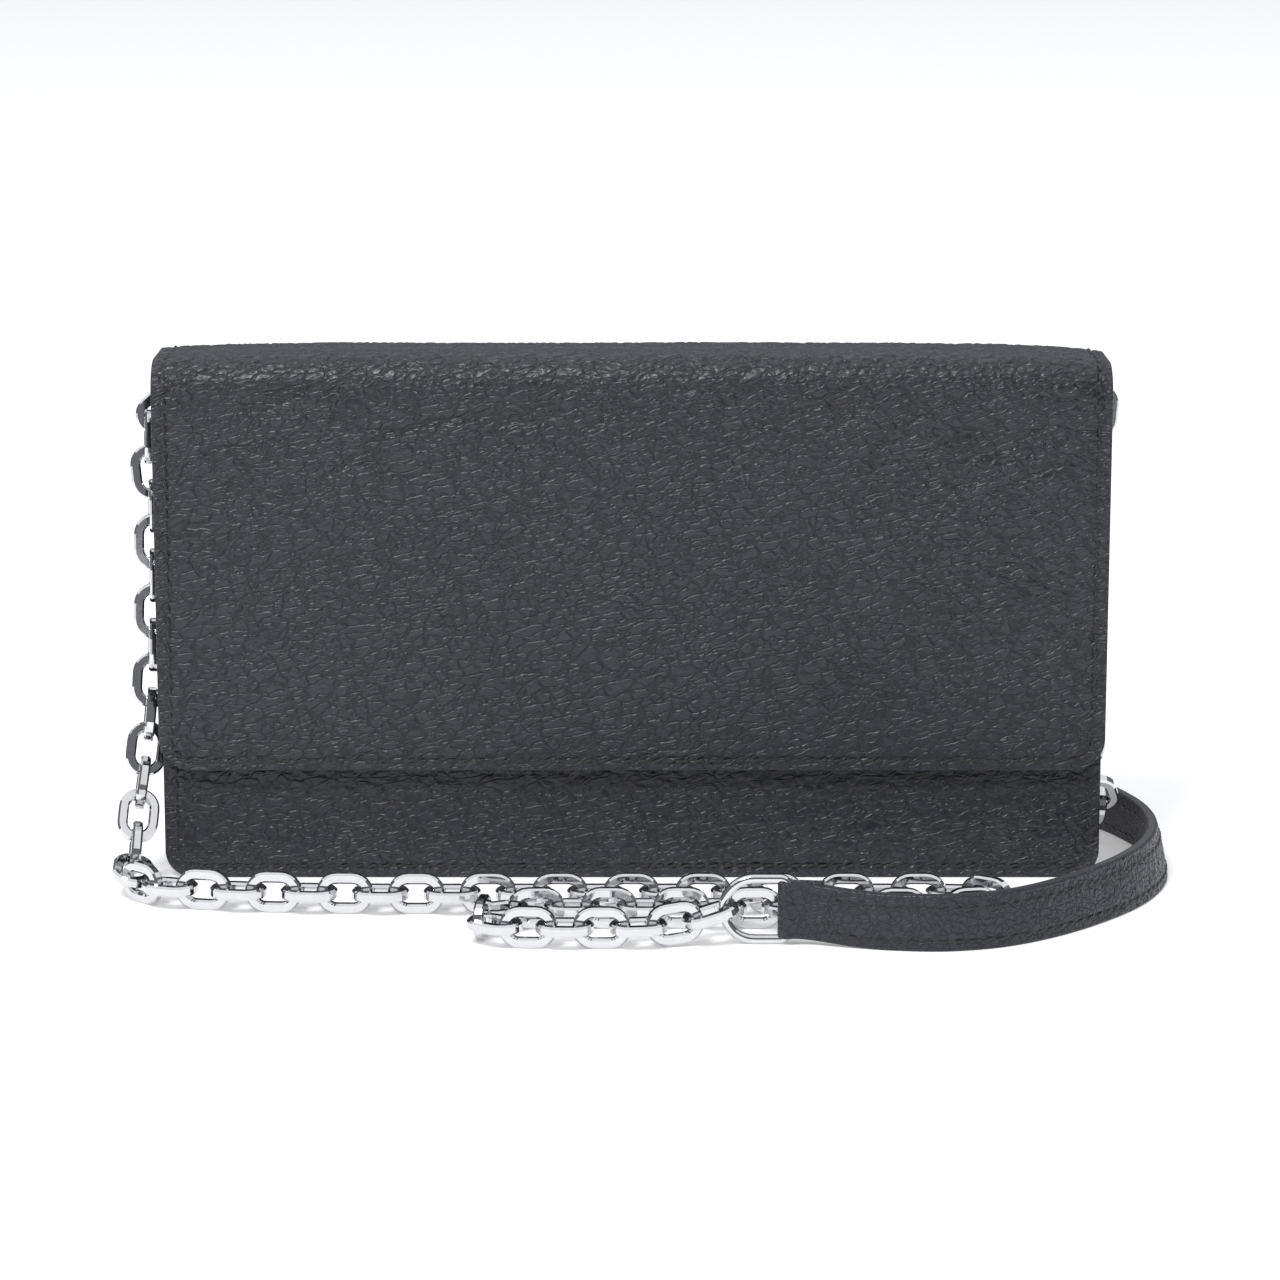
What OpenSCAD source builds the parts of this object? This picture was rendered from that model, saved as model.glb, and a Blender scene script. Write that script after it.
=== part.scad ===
// Chain wallet: a flap wallet of pebbled leather with a chain and leather shoulder strap.
// Origin: centre of the rest face, under the case. +X right, front faces -Y, +Z up. Millimetres.

/* [Wallet] */
// Width of the front and back panels
wallet_w = 205; // [180:1:220]
// Height of the closed wallet
wallet_h = 116; // [110:1:124]
// Depth of the closed wallet, front of the flap to the back
wallet_d = 28; // [28:0.5:32]
// Radius of the panels' lower corners
corner_r = 6; // [4:0.5:8]
// Height of the flap's lower edge above the rest face
flap_edge_z = 25; // [20:1:40]
// Radius of the flap's lower corners
flap_corner_r = 7; // [4:0.5:9]
// Outer radius of the fold at the front of the top
front_fold_r = 7; // [6:0.5:8]
// Outer radius of the fold at the back of the top
back_fold_r = 6; // [5:0.5:7]

/* [Materials] */
// Thickness of the outer leather
leather_t = 1.2; // [1:0.1:1.3]
// Thickness of the stiffening board
board_t = 0.6; // [0.4:0.1:0.6]
// Thickness of the lining leather
lining_t = 0.8; // [0.6:0.1:0.8]
// Thickness of the gusset leather
gusset_t = 0.9; // [0.7:0.1:1.1]

/* [Pockets] */
// Width of the zip pocket between the two note compartments
pocket_w = 160; // [150:1:162]
// Thickness of the zip pocket
pocket_d = 7.4; // [7.2:0.1:7.4]
// Height of the zip pocket's top edge
pocket_top_z = 97; // [94:1:98]
// Number of card slots in a column
card_rows = 4; // [4:1:4]
// Height of each card slot above the next
card_step = 12; // [10:0.5:13]
// Spacing of the zip's teeth
tooth_pitch = 2.5; // [2.5:0.1:3]
// Travel of the zip slider
zip_travel = 128; // [100:1:128]

/* [Chain and strap] */
// Outer length of a chain link
link_l = 12; // [11:0.1:12.2]
// Outer width of a chain link
link_w = 8.7; // [8:0.1:9]
// Width of the chain's wire, across the link's face
wire_t = 1.9; // [1.6:0.1:1.9]
// Distance from one link to the next along the chain
link_pitch = 7.7; // [7.6:0.05:8]
// Width of the leather strap
strap_w = 12; // [10:0.5:12]
// Thickness of the leather strap's two layers together
strap_t = 2.4; // [1.8:0.1:2.8]
// Thickness of the wire of the strap's two D-rings
ring_wire = 2; // [1.8:0.1:2.2]

/* [Snap] */
// Height of the press stud above the rest face
snap_z = 42; // [36:1:60]
// Radius of the stud's head
stud_r = 2.6; // [2.2:0.1:2.8]
// Radius of the socket's bore
socket_r = 3.5; // [3.4:0.1:3.8]

/* [Hidden] */
SMOOTH = 48;
LEATHER = [0.24, 0.25, 0.29];
LINING = [0.16, 0.16, 0.18];
SOFT = [0.18, 0.18, 0.2];
FOLD = [0.2, 0.2, 0.23];
gap = 0.05;
hinge_gap = 0.08;

half_w = wallet_w / 2;
flap_w = wallet_w + 1;
y_front = -wallet_d / 2;
y_back = wallet_d / 2;

// Layers of the back panel, from outside in
y_back_leather = y_back - leather_t;
y_back_board = y_back_leather - board_t;
y_back_lining = y_back_board - lining_t;

// Layers of the flap, from outside in
y_flap_leather = y_front + leather_t;
y_flap_board = y_flap_leather + board_t;
y_flap_lining = y_flap_board + lining_t;

// Layers of the front panel, which stands clear of the flap for the press stud's flange
flap_clear = 0.8;
y_panel = y_flap_lining + flap_clear;
y_panel_leather = y_panel + leather_t;
y_panel_board = y_panel_leather + board_t;
y_panel_lining = y_panel_board + lining_t;
panel_top_z = wallet_h - 12;

// Folds of the top: centre of each arc
front_fold = [y_front + front_fold_r, wallet_h - front_fold_r];
back_fold = [y_back - back_fold_r, wallet_h - back_fold_r];
board_top_z = front_fold[1] - 4;
board_inset = 6;

// Base and gussets
base_z = 3.5;
seam_w = 3;
gusset_top_z = pocket_top_z;
gusset_x = half_w - seam_w - 1.5;
seam_x = half_w - 1.5;

// Card slips on the back lining
slip_t = 0.8;
slip_w = 182;
slip_top_z = 92;
slip_strip = 16;
slip_tongue = 30;
slip_cloth = 0.3;
y_slips = y_back_lining - card_rows * slip_t;

// Slip pocket on the front panel's lining
front_slip_t = 0.5;
front_slip_top_z = 78;
y_front_slip = y_panel_lining + gap + front_slip_t;

// Zip pocket, midway between the slip pocket and the card slips
pocket_y = (y_front_slip + y_slips) / 2;
pocket_wall = 0.8;
pocket_base_z = base_z + gusset_t + 0.6;
pocket_in = pocket_d / 2 - pocket_wall;
zip_z = pocket_top_z - 4.2;
tape_t = 0.5;
tape_in = 1.6;
tooth_h = 1.6;
tooth_in = 0.4;
tooth_l = 1.3;
tooth_x0 = -75;
tooth_x1 = tooth_x0 + zip_travel + 10;
stop_l = 1.4;
slider_l = 8;
slider_w = pocket_d - 2 * pocket_wall - 0.4;
slider_x = tooth_x0 - 1.3;
plate_t = 1;
plate_gap = tooth_h + 0.4;
post_w = 0.6;
bridge_h = 1.9;
pull_w = 4.4;
pull_l = 16;
pull_t = 1;
pull_bar_r = 0.5;

// Press stud: cap behind the flap's leather, and the socket's rim
cap_r = 5.4;
cap_t = 0.4;
socket_out_r = 4.6;

// Chain carriers inside the mouth: tab, ring and clasp, mirrored on the other side
tab_x = 62;
tab_z = 104;
tab_h = 9;
carrier_y = y_back_lining - 3.9;
inner_wire = 2;
inner_ring_r = 5;
inner_bar_x = 77;
inner_arc_x = 81;
clasp_x = inner_arc_x + inner_ring_r + 0.7;
clasp_out_r = 3.7;
clasp_in_r = 2.2;
clasp_t = 2.4;
clasp_body_l = 6.5;
clasp_eye_r = 3;
clasp_eye_x = clasp_x + 12.8;
clasp_eye_t = 1.4;
gate_x = clasp_x + 3.3;
gate_y = carrier_y - 2.6;
gate_l = 5.8;
gate_t = 1.3;
pin_r = 0.45;
pin_clear = 0.05;

// Strap's D-rings: distance from the strap bar to the middle of the bend, and half height
ring_leg = 6.8;
ring_half = 6.5;
strap_ring_front = [32.3, -63];
strap_ring_back = [-37.5, 57];
// Strap's turned ends round the D-rings: height, leather, width of the neck and where it stops
loop_h = 11;
loop_t = 1.25;
loop_neck = 3.2;
loop_end = 1.1;

// Centreline of the left chain: out of the clasp, down the left side, and along the floor in front
CHAIN_LEFT = [
    [-100.4, 7.1, 103.6], [-104.5, 6.7, 101.8], [-105.9, 4.5, 95.5], [-104.7, 2.5, 85], [-104.7, 1, 70],
    [-104.9, -0.5, 55], [-105.4, -2.5, 41], [-106.6, -5.8, 28], [-107.7, -11.5, 17.5], [-108.2, -17, 9.5],
    [-108, -23, 5], [-107.5, -29, 4.35], [-103, -33, 4.35], [-95, -35.5, 4.35],
    [-80, -38, 4.35], [-55, -39.5, 4.35], [-25, -39.5, 4.35], [5, -39.5, 4.35],
    [35, -39.5, 4.35], [60, -39.5, 4.35], [72, -40, 4.35], [78, -43, 4.35],
    [78, -48, 4.35], [72, -51, 4.35], [60, -51.5, 4.35], [40, -51, 4.35], [15, -51, 4.35],
    [-10, -51, 4.35], [-24, -51.5, 4.35], [-31, -55, 4.35], [-32, -61, 4.35],
    [-26, -65.5, 4.35], [-15, -66, 4.35], [0, -66, 4.35], [10, -65, 4.9], [19.9, -63, 7.5]
];
// Centreline of the right chain: from the clasp down the gusset's fold, round the back panel's edge, and
// to and fro behind the case
CHAIN_RIGHT = [
    [102.2, 7.3, 104.6], [102.3, 7.6, 101.2], [100.8, 5.5, 92.8], [100.5, 3.9, 90.5], [98.1, 4, 76.3],
    [98.8, 5.2, 73.3], [99.6, 2, 64.5], [97.7, 2.3, 42.2], [100.1, 3, 35.7], [99.8, 1.5, 31.6],
    [99.4, 2, 30.6], [101.1, 3.1, 22.1], [103, 5.2, 16.7], [104.8, 10.6, 11.4], [101.7, 22.2, 6.9],
    [100.2, 24.1, 4.9], [90.1, 28.3, 4.5], [81.4, 24.2, 5.3], [60, 24, 4.35], [35, 24, 4.35],
    [10, 24, 4.35], [-15, 24, 4.35], [-35, 24, 4.35], [-48, 24.5, 4.35], [-53.5, 27, 4.35],
    [-53.5, 32, 4.35], [-48, 34.5, 4.35], [-30, 35, 4.35], [-10, 35, 4.35], [3, 35.5, 4.35],
    [8.5, 38, 4.35], [8.5, 43, 4.35], [3, 45.5, 4.35], [-15, 46, 4.35], [-40, 46, 4.35],
    [-60, 46, 4.35], [-72, 46.5, 4.35], [-77.5, 49, 4.35], [-77.5, 54, 4.35],
    [-72, 56.5, 4.35], [-62, 57, 4.6], [-49.9, 57, 7.5]
];
// Middle of the strap: it stands on its edge, from the front D-ring round the right side to the back
STRAP = [
    [33.6, -63], [38, -63.5], [46, -65.6], [56, -67.7], [66, -68], [77, -64.8], [88, -57.5],
    [99, -46.5], [108.5, -33.5], [114.5, -20], [117, -7], [116.5, 7], [113, 20.5],
    [108, 32], [100.5, 43], [89, 51.5], [74, 56], [50, 57.5], [20, 57], [-10, 57], [-36.3, 57]
];

// ---- Outlines and profiles ----

function arc(c, r, a0, a1, n = 8) =
    [for (i = [0:n]) let (a = a0 + (a1 - a0) * i / n) c + r * [cos(a), sin(a)]];

// Plate in X and Z with rounded lower and upper corners
function plate(w, z0, z1, low_r, top_r) = concat(
    arc([w / 2 - low_r, z0 + low_r], low_r, -90, 0),
    arc([w / 2 - top_r, z1 - top_r], top_r, 0, 90, 4),
    arc([top_r - w / 2, z1 - top_r], top_r, 90, 180, 4),
    arc([low_r - w / 2, z0 + low_r], low_r, 180, 270)
);

// Part of a fold's ring in Y and Z, between two angles
function fold_ring(c, r0, r1, a0, a1) = concat(arc(c, r1, a0, a1, 6), arc(c, r0, a1, a0, 6));

// Extrudes a Y-Z profile along X, centred
module along_x(w) {
    translate([-w / 2, 0, 0]) rotate([90, 0, 90]) linear_extrude(w) children();
}

// Extrudes an X-Z outline along Y, from y0 to y1
module along_y(y0, y1) {
    translate([0, y1, 0]) rotate([90, 0, 0]) linear_extrude(y1 - y0) children();
}

module slab(y0, y1, w, z0, z1, low_r = corner_r, top_r = 3) {
    along_y(y0, y1) polygon(plate(w, z0, z1, low_r, top_r));
}

module box(x0, x1, y0, y1, z0, z1) {
    translate([x0, y0, z0]) cube([x1 - x0, y1 - y0, z1 - z0]);
}

// Disc or bore across the wallet's thickness, from y0 to y1
module disc_y(r, y0, y1, x = 0, z = snap_z) {
    translate([x, y1, z]) rotate([90, 0, 0]) cylinder(r = r, h = y1 - y0, $fn = SMOOTH);
}

// ---- Back panel ----

module back_leather() {
    color(LEATHER) intersection() {
        along_x(wallet_w) union() {
            translate([y_back_leather, 0]) square([leather_t, back_fold[1] + gap]);
            polygon(fold_ring(back_fold, back_fold_r - leather_t, back_fold_r, 0, 45 - hinge_gap));
        }
        along_y(y_front, y_back + 1) polygon(plate(wallet_w, 0, wallet_h + 4, corner_r, 1));
    }
}

module back_board() {
    color("tan") slab(y_back_board, y_back_leather, wallet_w - board_inset, base_z, panel_top_z);
}

module back_lining() {
    color(LINING) slab(y_back_lining, y_back_board, wallet_w, 0, panel_top_z + 2);
}

// ---- Base and gussets ----

module base_strip() {
    color([0.22, 0.23, 0.26]) {
        box(-gusset_x, gusset_x, y_panel_lining + gap, y_back_lining - gap, base_z, base_z + gusset_t);
        for (y = [y_panel_lining + gap, y_back_lining - gap - gusset_t]) {
            box(-gusset_x, gusset_x, y, y + gusset_t, 0, base_z + gap);
        }
    }
}

// Depth of the gusset's inward fold at height z
function fold_in(z) = 1.5 + 15 * (z - base_z) / (gusset_top_z - base_z);

// Closed section of the left gusset at height z: seam flange, fold, seam flange
function gusset_section(z) = let (
        y0 = y_panel_lining + gap,
        y1 = y_back_lining - gap,
        t = gusset_t,
        x = -gusset_x,
        tip = x + fold_in(z)
    ) [
        [-seam_x, y0, z], [x, y0, z], [tip, pocket_y, z], [x, y1, z], [-seam_x, y1, z],
        [-seam_x, y1 - t, z], [x - t / 2, y1 - t, z], [tip - 1.3 * t, pocket_y, z],
        [x - t / 2, y0 + t, z], [-seam_x, y0 + t, z]
    ];

// Skin over a list of rings with equal point counts, closed with flat ends
module loft(rings) {
    n = len(rings[0]);
    last = (len(rings) - 1) * n;
    polyhedron(
        points = [for (r = rings) each r],
        faces = concat(
            [[for (i = [0:n - 1]) i]],
            [for (k = [0:len(rings) - 2]) for (i = [0:n - 1]) let (j = (i + 1) % n)
                each [[k * n + i, (k + 1) * n + i, (k + 1) * n + j],
                      [k * n + i, (k + 1) * n + j, k * n + j]]],
            [[for (i = [0:n - 1]) last + n - 1 - i]]
        )
    );
}

module gusset() {
    color(FOLD) loft([for (z = [base_z + gusset_t + gap, gusset_top_z]) gusset_section(z)]);
}

module gusset_left() {
    gusset();
}

module gusset_right() {
    mirror([1, 0, 0]) gusset();
}

// ---- Card slips ----

// One card slip across both columns: a leather strip at its mouth with a cloth tongue below
module card_slip(row) {
    y1 = y_back_lining - row * slip_t;
    z1 = slip_top_z - row * card_step;
    full = row == card_rows - 1;
    z_strip = full ? base_z + 2 : z1 - slip_strip;
    color(SOFT) union() {
        box(-slip_w / 2, slip_w / 2, y1 - slip_t, y1, z_strip, z1);
        if (!full) {
            box(-slip_w / 2, slip_w / 2, y1 - slip_cloth, y1, z_strip - slip_tongue, z_strip + gap);
        }
    }
}

module card_slip_1() {
    card_slip(0);
}

module card_slip_2() {
    card_slip(1);
}

module card_slip_3() {
    card_slip(2);
}

module card_slip_4() {
    card_slip(3);
}

// ---- Chain carriers: everything here is drawn for the right side and mirrored ----

// D-shaped ring with its bar at x = 0 along Z and its bend towards -X
module d_ring(leg, half, wire) {
    r = wire / 2;
    union() {
        translate([0, 0, -half]) cylinder(r = r, h = 2 * half, $fn = SMOOTH);
        for (s = [-1, 1]) {
            translate([0, 0, s * half]) {
                sphere(r = r, $fn = SMOOTH);
                rotate([0, -90, 0]) cylinder(r = r, h = leg, $fn = SMOOTH);
            }
        }
        translate([-leg, 0, 0]) rotate([90, 90, 180]) {
            rotate_extrude(angle = 180, $fn = SMOOTH) translate([half, 0]) circle(r = r, $fn = SMOOTH);
        }
    }
}

module ring_tab() {
    color(SOFT) difference() {
        union() {
            box(tab_x, inner_bar_x, carrier_y + 1.8, y_back_lining - gap,
                tab_z - tab_h / 2, tab_z + tab_h / 2);
            translate([inner_bar_x, carrier_y, tab_z - tab_h / 2 + 0.6]) {
                cylinder(r = 1.9, h = tab_h - 1.2, $fn = SMOOTH);
            }
        }
        translate([inner_bar_x, carrier_y, tab_z - tab_h]) {
            cylinder(r = inner_wire / 2 + 0.1, h = 2 * tab_h, $fn = SMOOTH);
        }
    }
}

module inner_ring() {
    color("silver") translate([inner_bar_x, carrier_y, tab_z]) {
        mirror([1, 0, 0]) d_ring(inner_arc_x - inner_bar_x, inner_ring_r, inner_wire);
    }
}

// Hook and body of the clasp, lying in the X-Y plane, slotted for its gate
module clasp_body() {
    slot_t = gate_t + 0.2;
    color("silver") translate([0, 0, tab_z]) difference() {
        union() {
            translate([clasp_x, carrier_y, -clasp_t / 2]) {
                cylinder(r = clasp_out_r, h = clasp_t, $fn = SMOOTH);
            }
            box(clasp_x + 2.6, clasp_x + 2.6 + clasp_body_l, carrier_y - 3.4, carrier_y + 2.6,
                -clasp_t / 2, clasp_t / 2);
        }
        translate([clasp_x, carrier_y, -clasp_t]) {
            cylinder(r = clasp_in_r, h = 2 * clasp_t, $fn = SMOOTH);
        }
        box(clasp_x - 2.6, gate_x - 1.6, carrier_y - 5, carrier_y - 1.4, -clasp_t, clasp_t);
        box(clasp_x - 2.6, gate_x + 2, carrier_y - 5, carrier_y - 1.1, -slot_t / 2, slot_t / 2);
        translate([gate_x, gate_y, -clasp_t]) {
            cylinder(r = pin_r + pin_clear, h = 2 * clasp_t, $fn = SMOOTH);
        }
        translate([clasp_x + 8, carrier_y - 0.4, 0]) rotate([0, 90, 0]) {
            cylinder(r = 0.9, h = 4, $fn = SMOOTH);
        }
    }
}

// Swivelling eye: a ring on a headed stem that turns in the clasp's body
module clasp_eye() {
    color("silver") translate([clasp_eye_x, carrier_y - 0.4, tab_z]) difference() {
        union() {
            translate([0, 0, -clasp_eye_t / 2]) cylinder(r = clasp_eye_r, h = clasp_eye_t, $fn = SMOOTH);
            translate([-4.5, 0, 0]) rotate([0, 90, 0]) cylinder(r = 0.8, h = 2.5, $fn = SMOOTH);
        }
        translate([0, 0, -2]) cylinder(r = clasp_eye_r - 0.9, h = 4, $fn = SMOOTH);
    }
}

module clasp_pin() {
    color("gray") translate([gate_x, gate_y, tab_z - clasp_t / 2]) {
        cylinder(r = pin_r, h = clasp_t, $fn = SMOOTH);
    }
}

module clasp_gate() {
    color("silver") translate([gate_x, gate_y, tab_z]) difference() {
        union() {
            translate([0, 0, -gate_t / 2]) cylinder(r = 1, h = gate_t, $fn = SMOOTH);
            translate([-gate_l, -0.7, -gate_t / 2]) cube([gate_l, 1.2, gate_t]);
        }
        translate([0, 0, -gate_t]) cylinder(r = pin_r + pin_clear, h = 2 * gate_t, $fn = SMOOTH);
        translate([0, 0, gate_t / 2 - 0.45]) cylinder(r = 0.85, h = 1, $fn = SMOOTH);
    }
}

// Small torsion spring round the pin, in the gate's recess
module clasp_spring() {
    color("gray") translate([gate_x, gate_y, tab_z + gate_t / 2 - 0.2]) {
        rotate_extrude($fn = SMOOTH) translate([0.66, 0]) circle(r = 0.13, $fn = 24);
    }
}

module other_side() {
    mirror([1, 0, 0]) children();
}

module ring_tab_right() {
    ring_tab();
}

module ring_tab_left() {
    other_side() ring_tab();
}

module inner_ring_right() {
    inner_ring();
}

module inner_ring_left() {
    other_side() inner_ring();
}

module clasp_body_right() {
    clasp_body();
}

module clasp_body_left() {
    other_side() clasp_body();
}

module clasp_eye_right() {
    clasp_eye();
}

module clasp_eye_left() {
    other_side() clasp_eye();
}

module clasp_pin_right() {
    clasp_pin();
}

module clasp_pin_left() {
    other_side() clasp_pin();
}

module clasp_gate_right() {
    clasp_gate();
}

module clasp_gate_left() {
    other_side() clasp_gate();
}

module clasp_spring_right() {
    clasp_spring();
}

module clasp_spring_left() {
    other_side() clasp_spring();
}

// ---- Top fold and flap ----

module top_leather() {
    r0 = front_fold_r - leather_t;
    s0 = back_fold_r - leather_t;
    color([0.26, 0.27, 0.31]) along_x(flap_w) polygon(concat(
        arc(back_fold, back_fold_r, 45 + hinge_gap, 90, 6),
        arc(front_fold, front_fold_r, 90, 135 - hinge_gap, 6),
        arc(front_fold, r0, 135 - hinge_gap, 90, 6),
        arc(back_fold, s0, 90, 45 + hinge_gap, 6)
    ));
}

module top_lining() {
    r1 = front_fold_r - leather_t;
    s1 = back_fold_r - leather_t;
    color(LINING) along_x(flap_w - 2) polygon(concat(
        arc(back_fold, s1, 45 + hinge_gap, 90, 6),
        arc(front_fold, r1, 90, 135 - hinge_gap, 6),
        arc(front_fold, r1 - lining_t, 135 - hinge_gap, 90, 6),
        arc(back_fold, s1 - lining_t, 90, 45 + hinge_gap, 6)
    ));
}

module flap_outline(inset = 0) {
    w = flap_w - 2 * inset;
    polygon(plate(w, flap_edge_z + inset, wallet_h + 4, flap_corner_r - inset, 1));
}

module flap_leather() {
    color(LEATHER) difference() {
        intersection() {
            along_x(flap_w) polygon(concat(
                arc(front_fold, front_fold_r, 135 + hinge_gap, 180, 6), [[y_front, flap_edge_z]],
                [[y_flap_leather, flap_edge_z]],
                arc(front_fold, front_fold_r - leather_t, 180, 135 + hinge_gap, 6)
            ));
            along_y(y_front - 1, y_back) flap_outline();
        }
        disc_y(cap_r + 0.2, y_flap_leather - cap_t, y_flap_leather + 1);
    }
}

module flap_board() {
    color("tan") difference() {
        slab(y_flap_leather, y_flap_board, flap_w - board_inset, flap_edge_z + 4, board_top_z);
        disc_y(socket_out_r + 0.2, y_front, y_panel);
    }
}

module flap_lining() {
    r1 = front_fold_r - leather_t;
    y_step = y_flap_leather + lining_t;
    color(LINING) difference() {
        intersection() {
            along_x(flap_w) polygon(concat(
                arc(front_fold, r1, 135 + hinge_gap, 180, 6),
                [[y_flap_leather, board_top_z + gap], [y_flap_board, board_top_z + gap]],
                [[y_flap_board, flap_edge_z], [y_flap_lining, flap_edge_z]],
                [[y_flap_lining, board_top_z + 1], [y_step, board_top_z + 2]],
                arc(front_fold, r1 - lining_t, 180, 135 + hinge_gap, 6)
            ));
            along_y(y_front - 1, y_back) flap_outline();
        }
        disc_y(socket_out_r + 0.2, y_front, y_panel);
    }
}

module snap_cap() {
    color("gray") disc_y(cap_r, y_flap_leather - cap_t, y_flap_leather - gap);
}

module snap_socket() {
    color("silver") difference() {
        disc_y(socket_out_r, y_flap_leather, y_flap_lining + 0.1);
        disc_y(socket_r, y_front, y_panel);
    }
}

// ---- Front panel ----

module front_layer(y0, y1, w, z0, z1, hole_r) {
    difference() {
        slab(y0, y1, w, z0, z1);
        disc_y(hole_r, y0 - 1, y1 + 1);
    }
}

module front_leather() {
    color(LEATHER) front_layer(y_panel, y_panel_leather, wallet_w, 0, panel_top_z, 1.7);
}

module front_board() {
    color("tan")
        front_layer(y_panel_leather, y_panel_board, wallet_w - board_inset, base_z, panel_top_z - 3, 4.7);
}

module front_lining() {
    color(LINING) slab(y_panel_board, y_panel_lining, wallet_w, 0, panel_top_z);
}

// Slip pocket inside the front panel
module front_slip() {
    y0 = y_front_slip - front_slip_t;
    color(SOFT) slab(y0, y_front_slip, slip_w, pocket_base_z, front_slip_top_z, 3, 1);
}

module snap_rivet() {
    color("gray") union() {
        disc_y(4.5, y_panel_leather + gap, y_panel_board - gap);
        disc_y(1.6, y_panel, y_panel_board - 2 * gap);
    }
}

// Stud on the front of the panel: flange, neck and rounded head
module snap_stud() {
    head_y = y_flap_leather + 0.2;
    color("silver") translate([0, y_panel, snap_z]) rotate([90, 0, 0]) {
        rotate_extrude($fn = SMOOTH) polygon([
            [0, 0], [4.2, 0], [4.2, 0.3], [3.8, 0.4], [2.1, 0.45], [2.1, 0.8],
            [stud_r, 1.1], [stud_r, 1.4], [stud_r - 0.5, y_panel - head_y], [0, y_panel - head_y]
        ]);
    }
}

// ---- Zip pocket ----

module pocket_wall_at(y) {
    color(SOFT) {
        slab(y, y + pocket_wall, pocket_w, pocket_base_z, pocket_top_z, 3, 1);
    }
}

module pocket_front_wall() {
    pocket_wall_at(pocket_y - pocket_d / 2);
}

module pocket_back_wall() {
    pocket_wall_at(pocket_y + pocket_in);
}

// Strip that joins the two walls along the sides and the bottom
module pocket_gusset() {
    z1 = zip_z - plate_gap / 2 - plate_t - 0.6;
    color(FOLD) along_y(pocket_y - pocket_in, pocket_y + pocket_in) difference() {
        polygon(plate(pocket_w, pocket_base_z, z1, 3, 0.2));
        polygon(plate(pocket_w - 1.6, pocket_base_z + 0.8, z1 + 1, 2.2, 0.2));
    }
}

module zip_tape(side) {
    color([0.1, 0.1, 0.11]) translate([0, pocket_y, zip_z]) {
        translate([-pocket_w / 2 + 2, side > 0 ? tape_in : -pocket_in, -tape_t / 2]) {
            cube([pocket_w - 4, pocket_in - tape_in, tape_t]);
        }
    }
}

module zip_tape_front() {
    zip_tape(-1);
}

module zip_tape_back() {
    zip_tape(1);
}

module zip_teeth(side) {
    color("silver") translate([0, pocket_y, zip_z]) for (x = [tooth_x0:tooth_pitch:tooth_x1 - tooth_l]) {
        translate([side > 0 ? x + tooth_pitch / 2 : x, side > 0 ? tooth_in : -tape_in, -tooth_h / 2]) {
            cube([tooth_l, tape_in - tooth_in, tooth_h]);
        }
    }
}

module zip_teeth_front() {
    zip_teeth(-1);
}

module zip_teeth_back() {
    zip_teeth(1);
}

// Stop blocks at both ends of the teeth
module zip_stops() {
    color("silver") translate([0, pocket_y, zip_z]) for (x = [tooth_x0 - 3.2, tooth_x1 + 3]) {
        translate([x, -tape_in, -tooth_h / 2]) cube([stop_l, 2 * tape_in, tooth_h]);
    }
}

module zip_slider() {
    h = plate_gap / 2;
    color("silver") translate([slider_x, pocket_y, zip_z]) union() {
        for (z = [-h - plate_t, h]) {
            translate([0, -slider_w / 2, z]) cube([slider_l, slider_w, plate_t]);
        }
        translate([0.2, -post_w / 2, -h - gap]) cube([2.6, post_w, plate_gap + 2 * gap]);
        for (x = [0.6, slider_l - 1.6]) {
            translate([x, -0.7, h + plate_t - gap]) cube([1, 1.4, bridge_h]);
        }
        translate([0.6, -0.7, h + plate_t + bridge_h - 0.6]) cube([slider_l - 1.2, 1.4, 0.6]);
    }
}

// Pull: a flat tab whose cross bar lies under the slider's bridge
module zip_pull() {
    bar_x = slider_x + slider_l - 2.4;
    bar_z = zip_z + plate_gap / 2 + plate_t + pull_bar_r + 0.1;
    color("silver") translate([bar_x, pocket_y, bar_z]) union() {
        rotate([90, 0, 0]) cylinder(r = pull_bar_r, h = pull_w, center = true, $fn = SMOOTH);
        for (s = [-1, 1]) {
            translate([0, s * (pull_w / 2 - 0.5) - 0.5, -pull_t / 2]) {
                cube([6, 1, pull_t]);
            }
        }
        difference() {
            translate([4.5, -pull_w / 2, -pull_t / 2]) cube([pull_l - 4.5, pull_w, pull_t]);
            translate([pull_l - 2.4, 0, -pull_t]) cylinder(r = 1, h = 2 * pull_t, $fn = SMOOTH);
        }
    }
}

// ---- Chains ----

function spline(a, b, c, d, t) = 0.5 * (2 * b + (c - a) * t + (2 * a - 5 * b + 4 * c - d) * t * t
    + (3 * b - a - 3 * c + d) * t * t * t);

// Smooth curve through a list of points
function smooth(p, steps = 6) = let (m = len(p) - 1) concat(
    [for (i = [0:m - 1]) for (k = [0:steps - 1])
        spline(p[max(i - 1, 0)], p[i], p[i + 1], p[min(i + 2, m)], k / steps)],
    [p[m]]
);

// Distance along a curve to each of its points
function reach(c) = [for (i = 0, s = 0; i < len(c); s = s + (i + 1 < len(c) ? norm(c[i + 1] - c[i]) : 0),
    i = i + 1) s];

// Point of the curve at distance s
function point_at(c, along, s) =
    [for (k = [0:2]) lookup(s, [for (i = [0:len(c) - 1]) [along[i], c[i][k]]])];

function unit(v) = v / norm(v);

FLAT_Z = 5.2;
// Normal of the links, carried along the chain without twist, and upright where it lies flat
function carry(n, t, z) = z < FLAT_Z ? [0, 0, n[2] < 0 ? -1 : 1] : unit(n - (n * t) * t);

module oval(r) {
    k = (link_l - link_w) / 2;
    for (s = [-1, 1]) {
        translate([s * k, 0]) circle(r = r, $fn = SMOOTH);
    }
    translate([-k, -r]) square([2 * k, 2 * r]);
}

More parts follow.
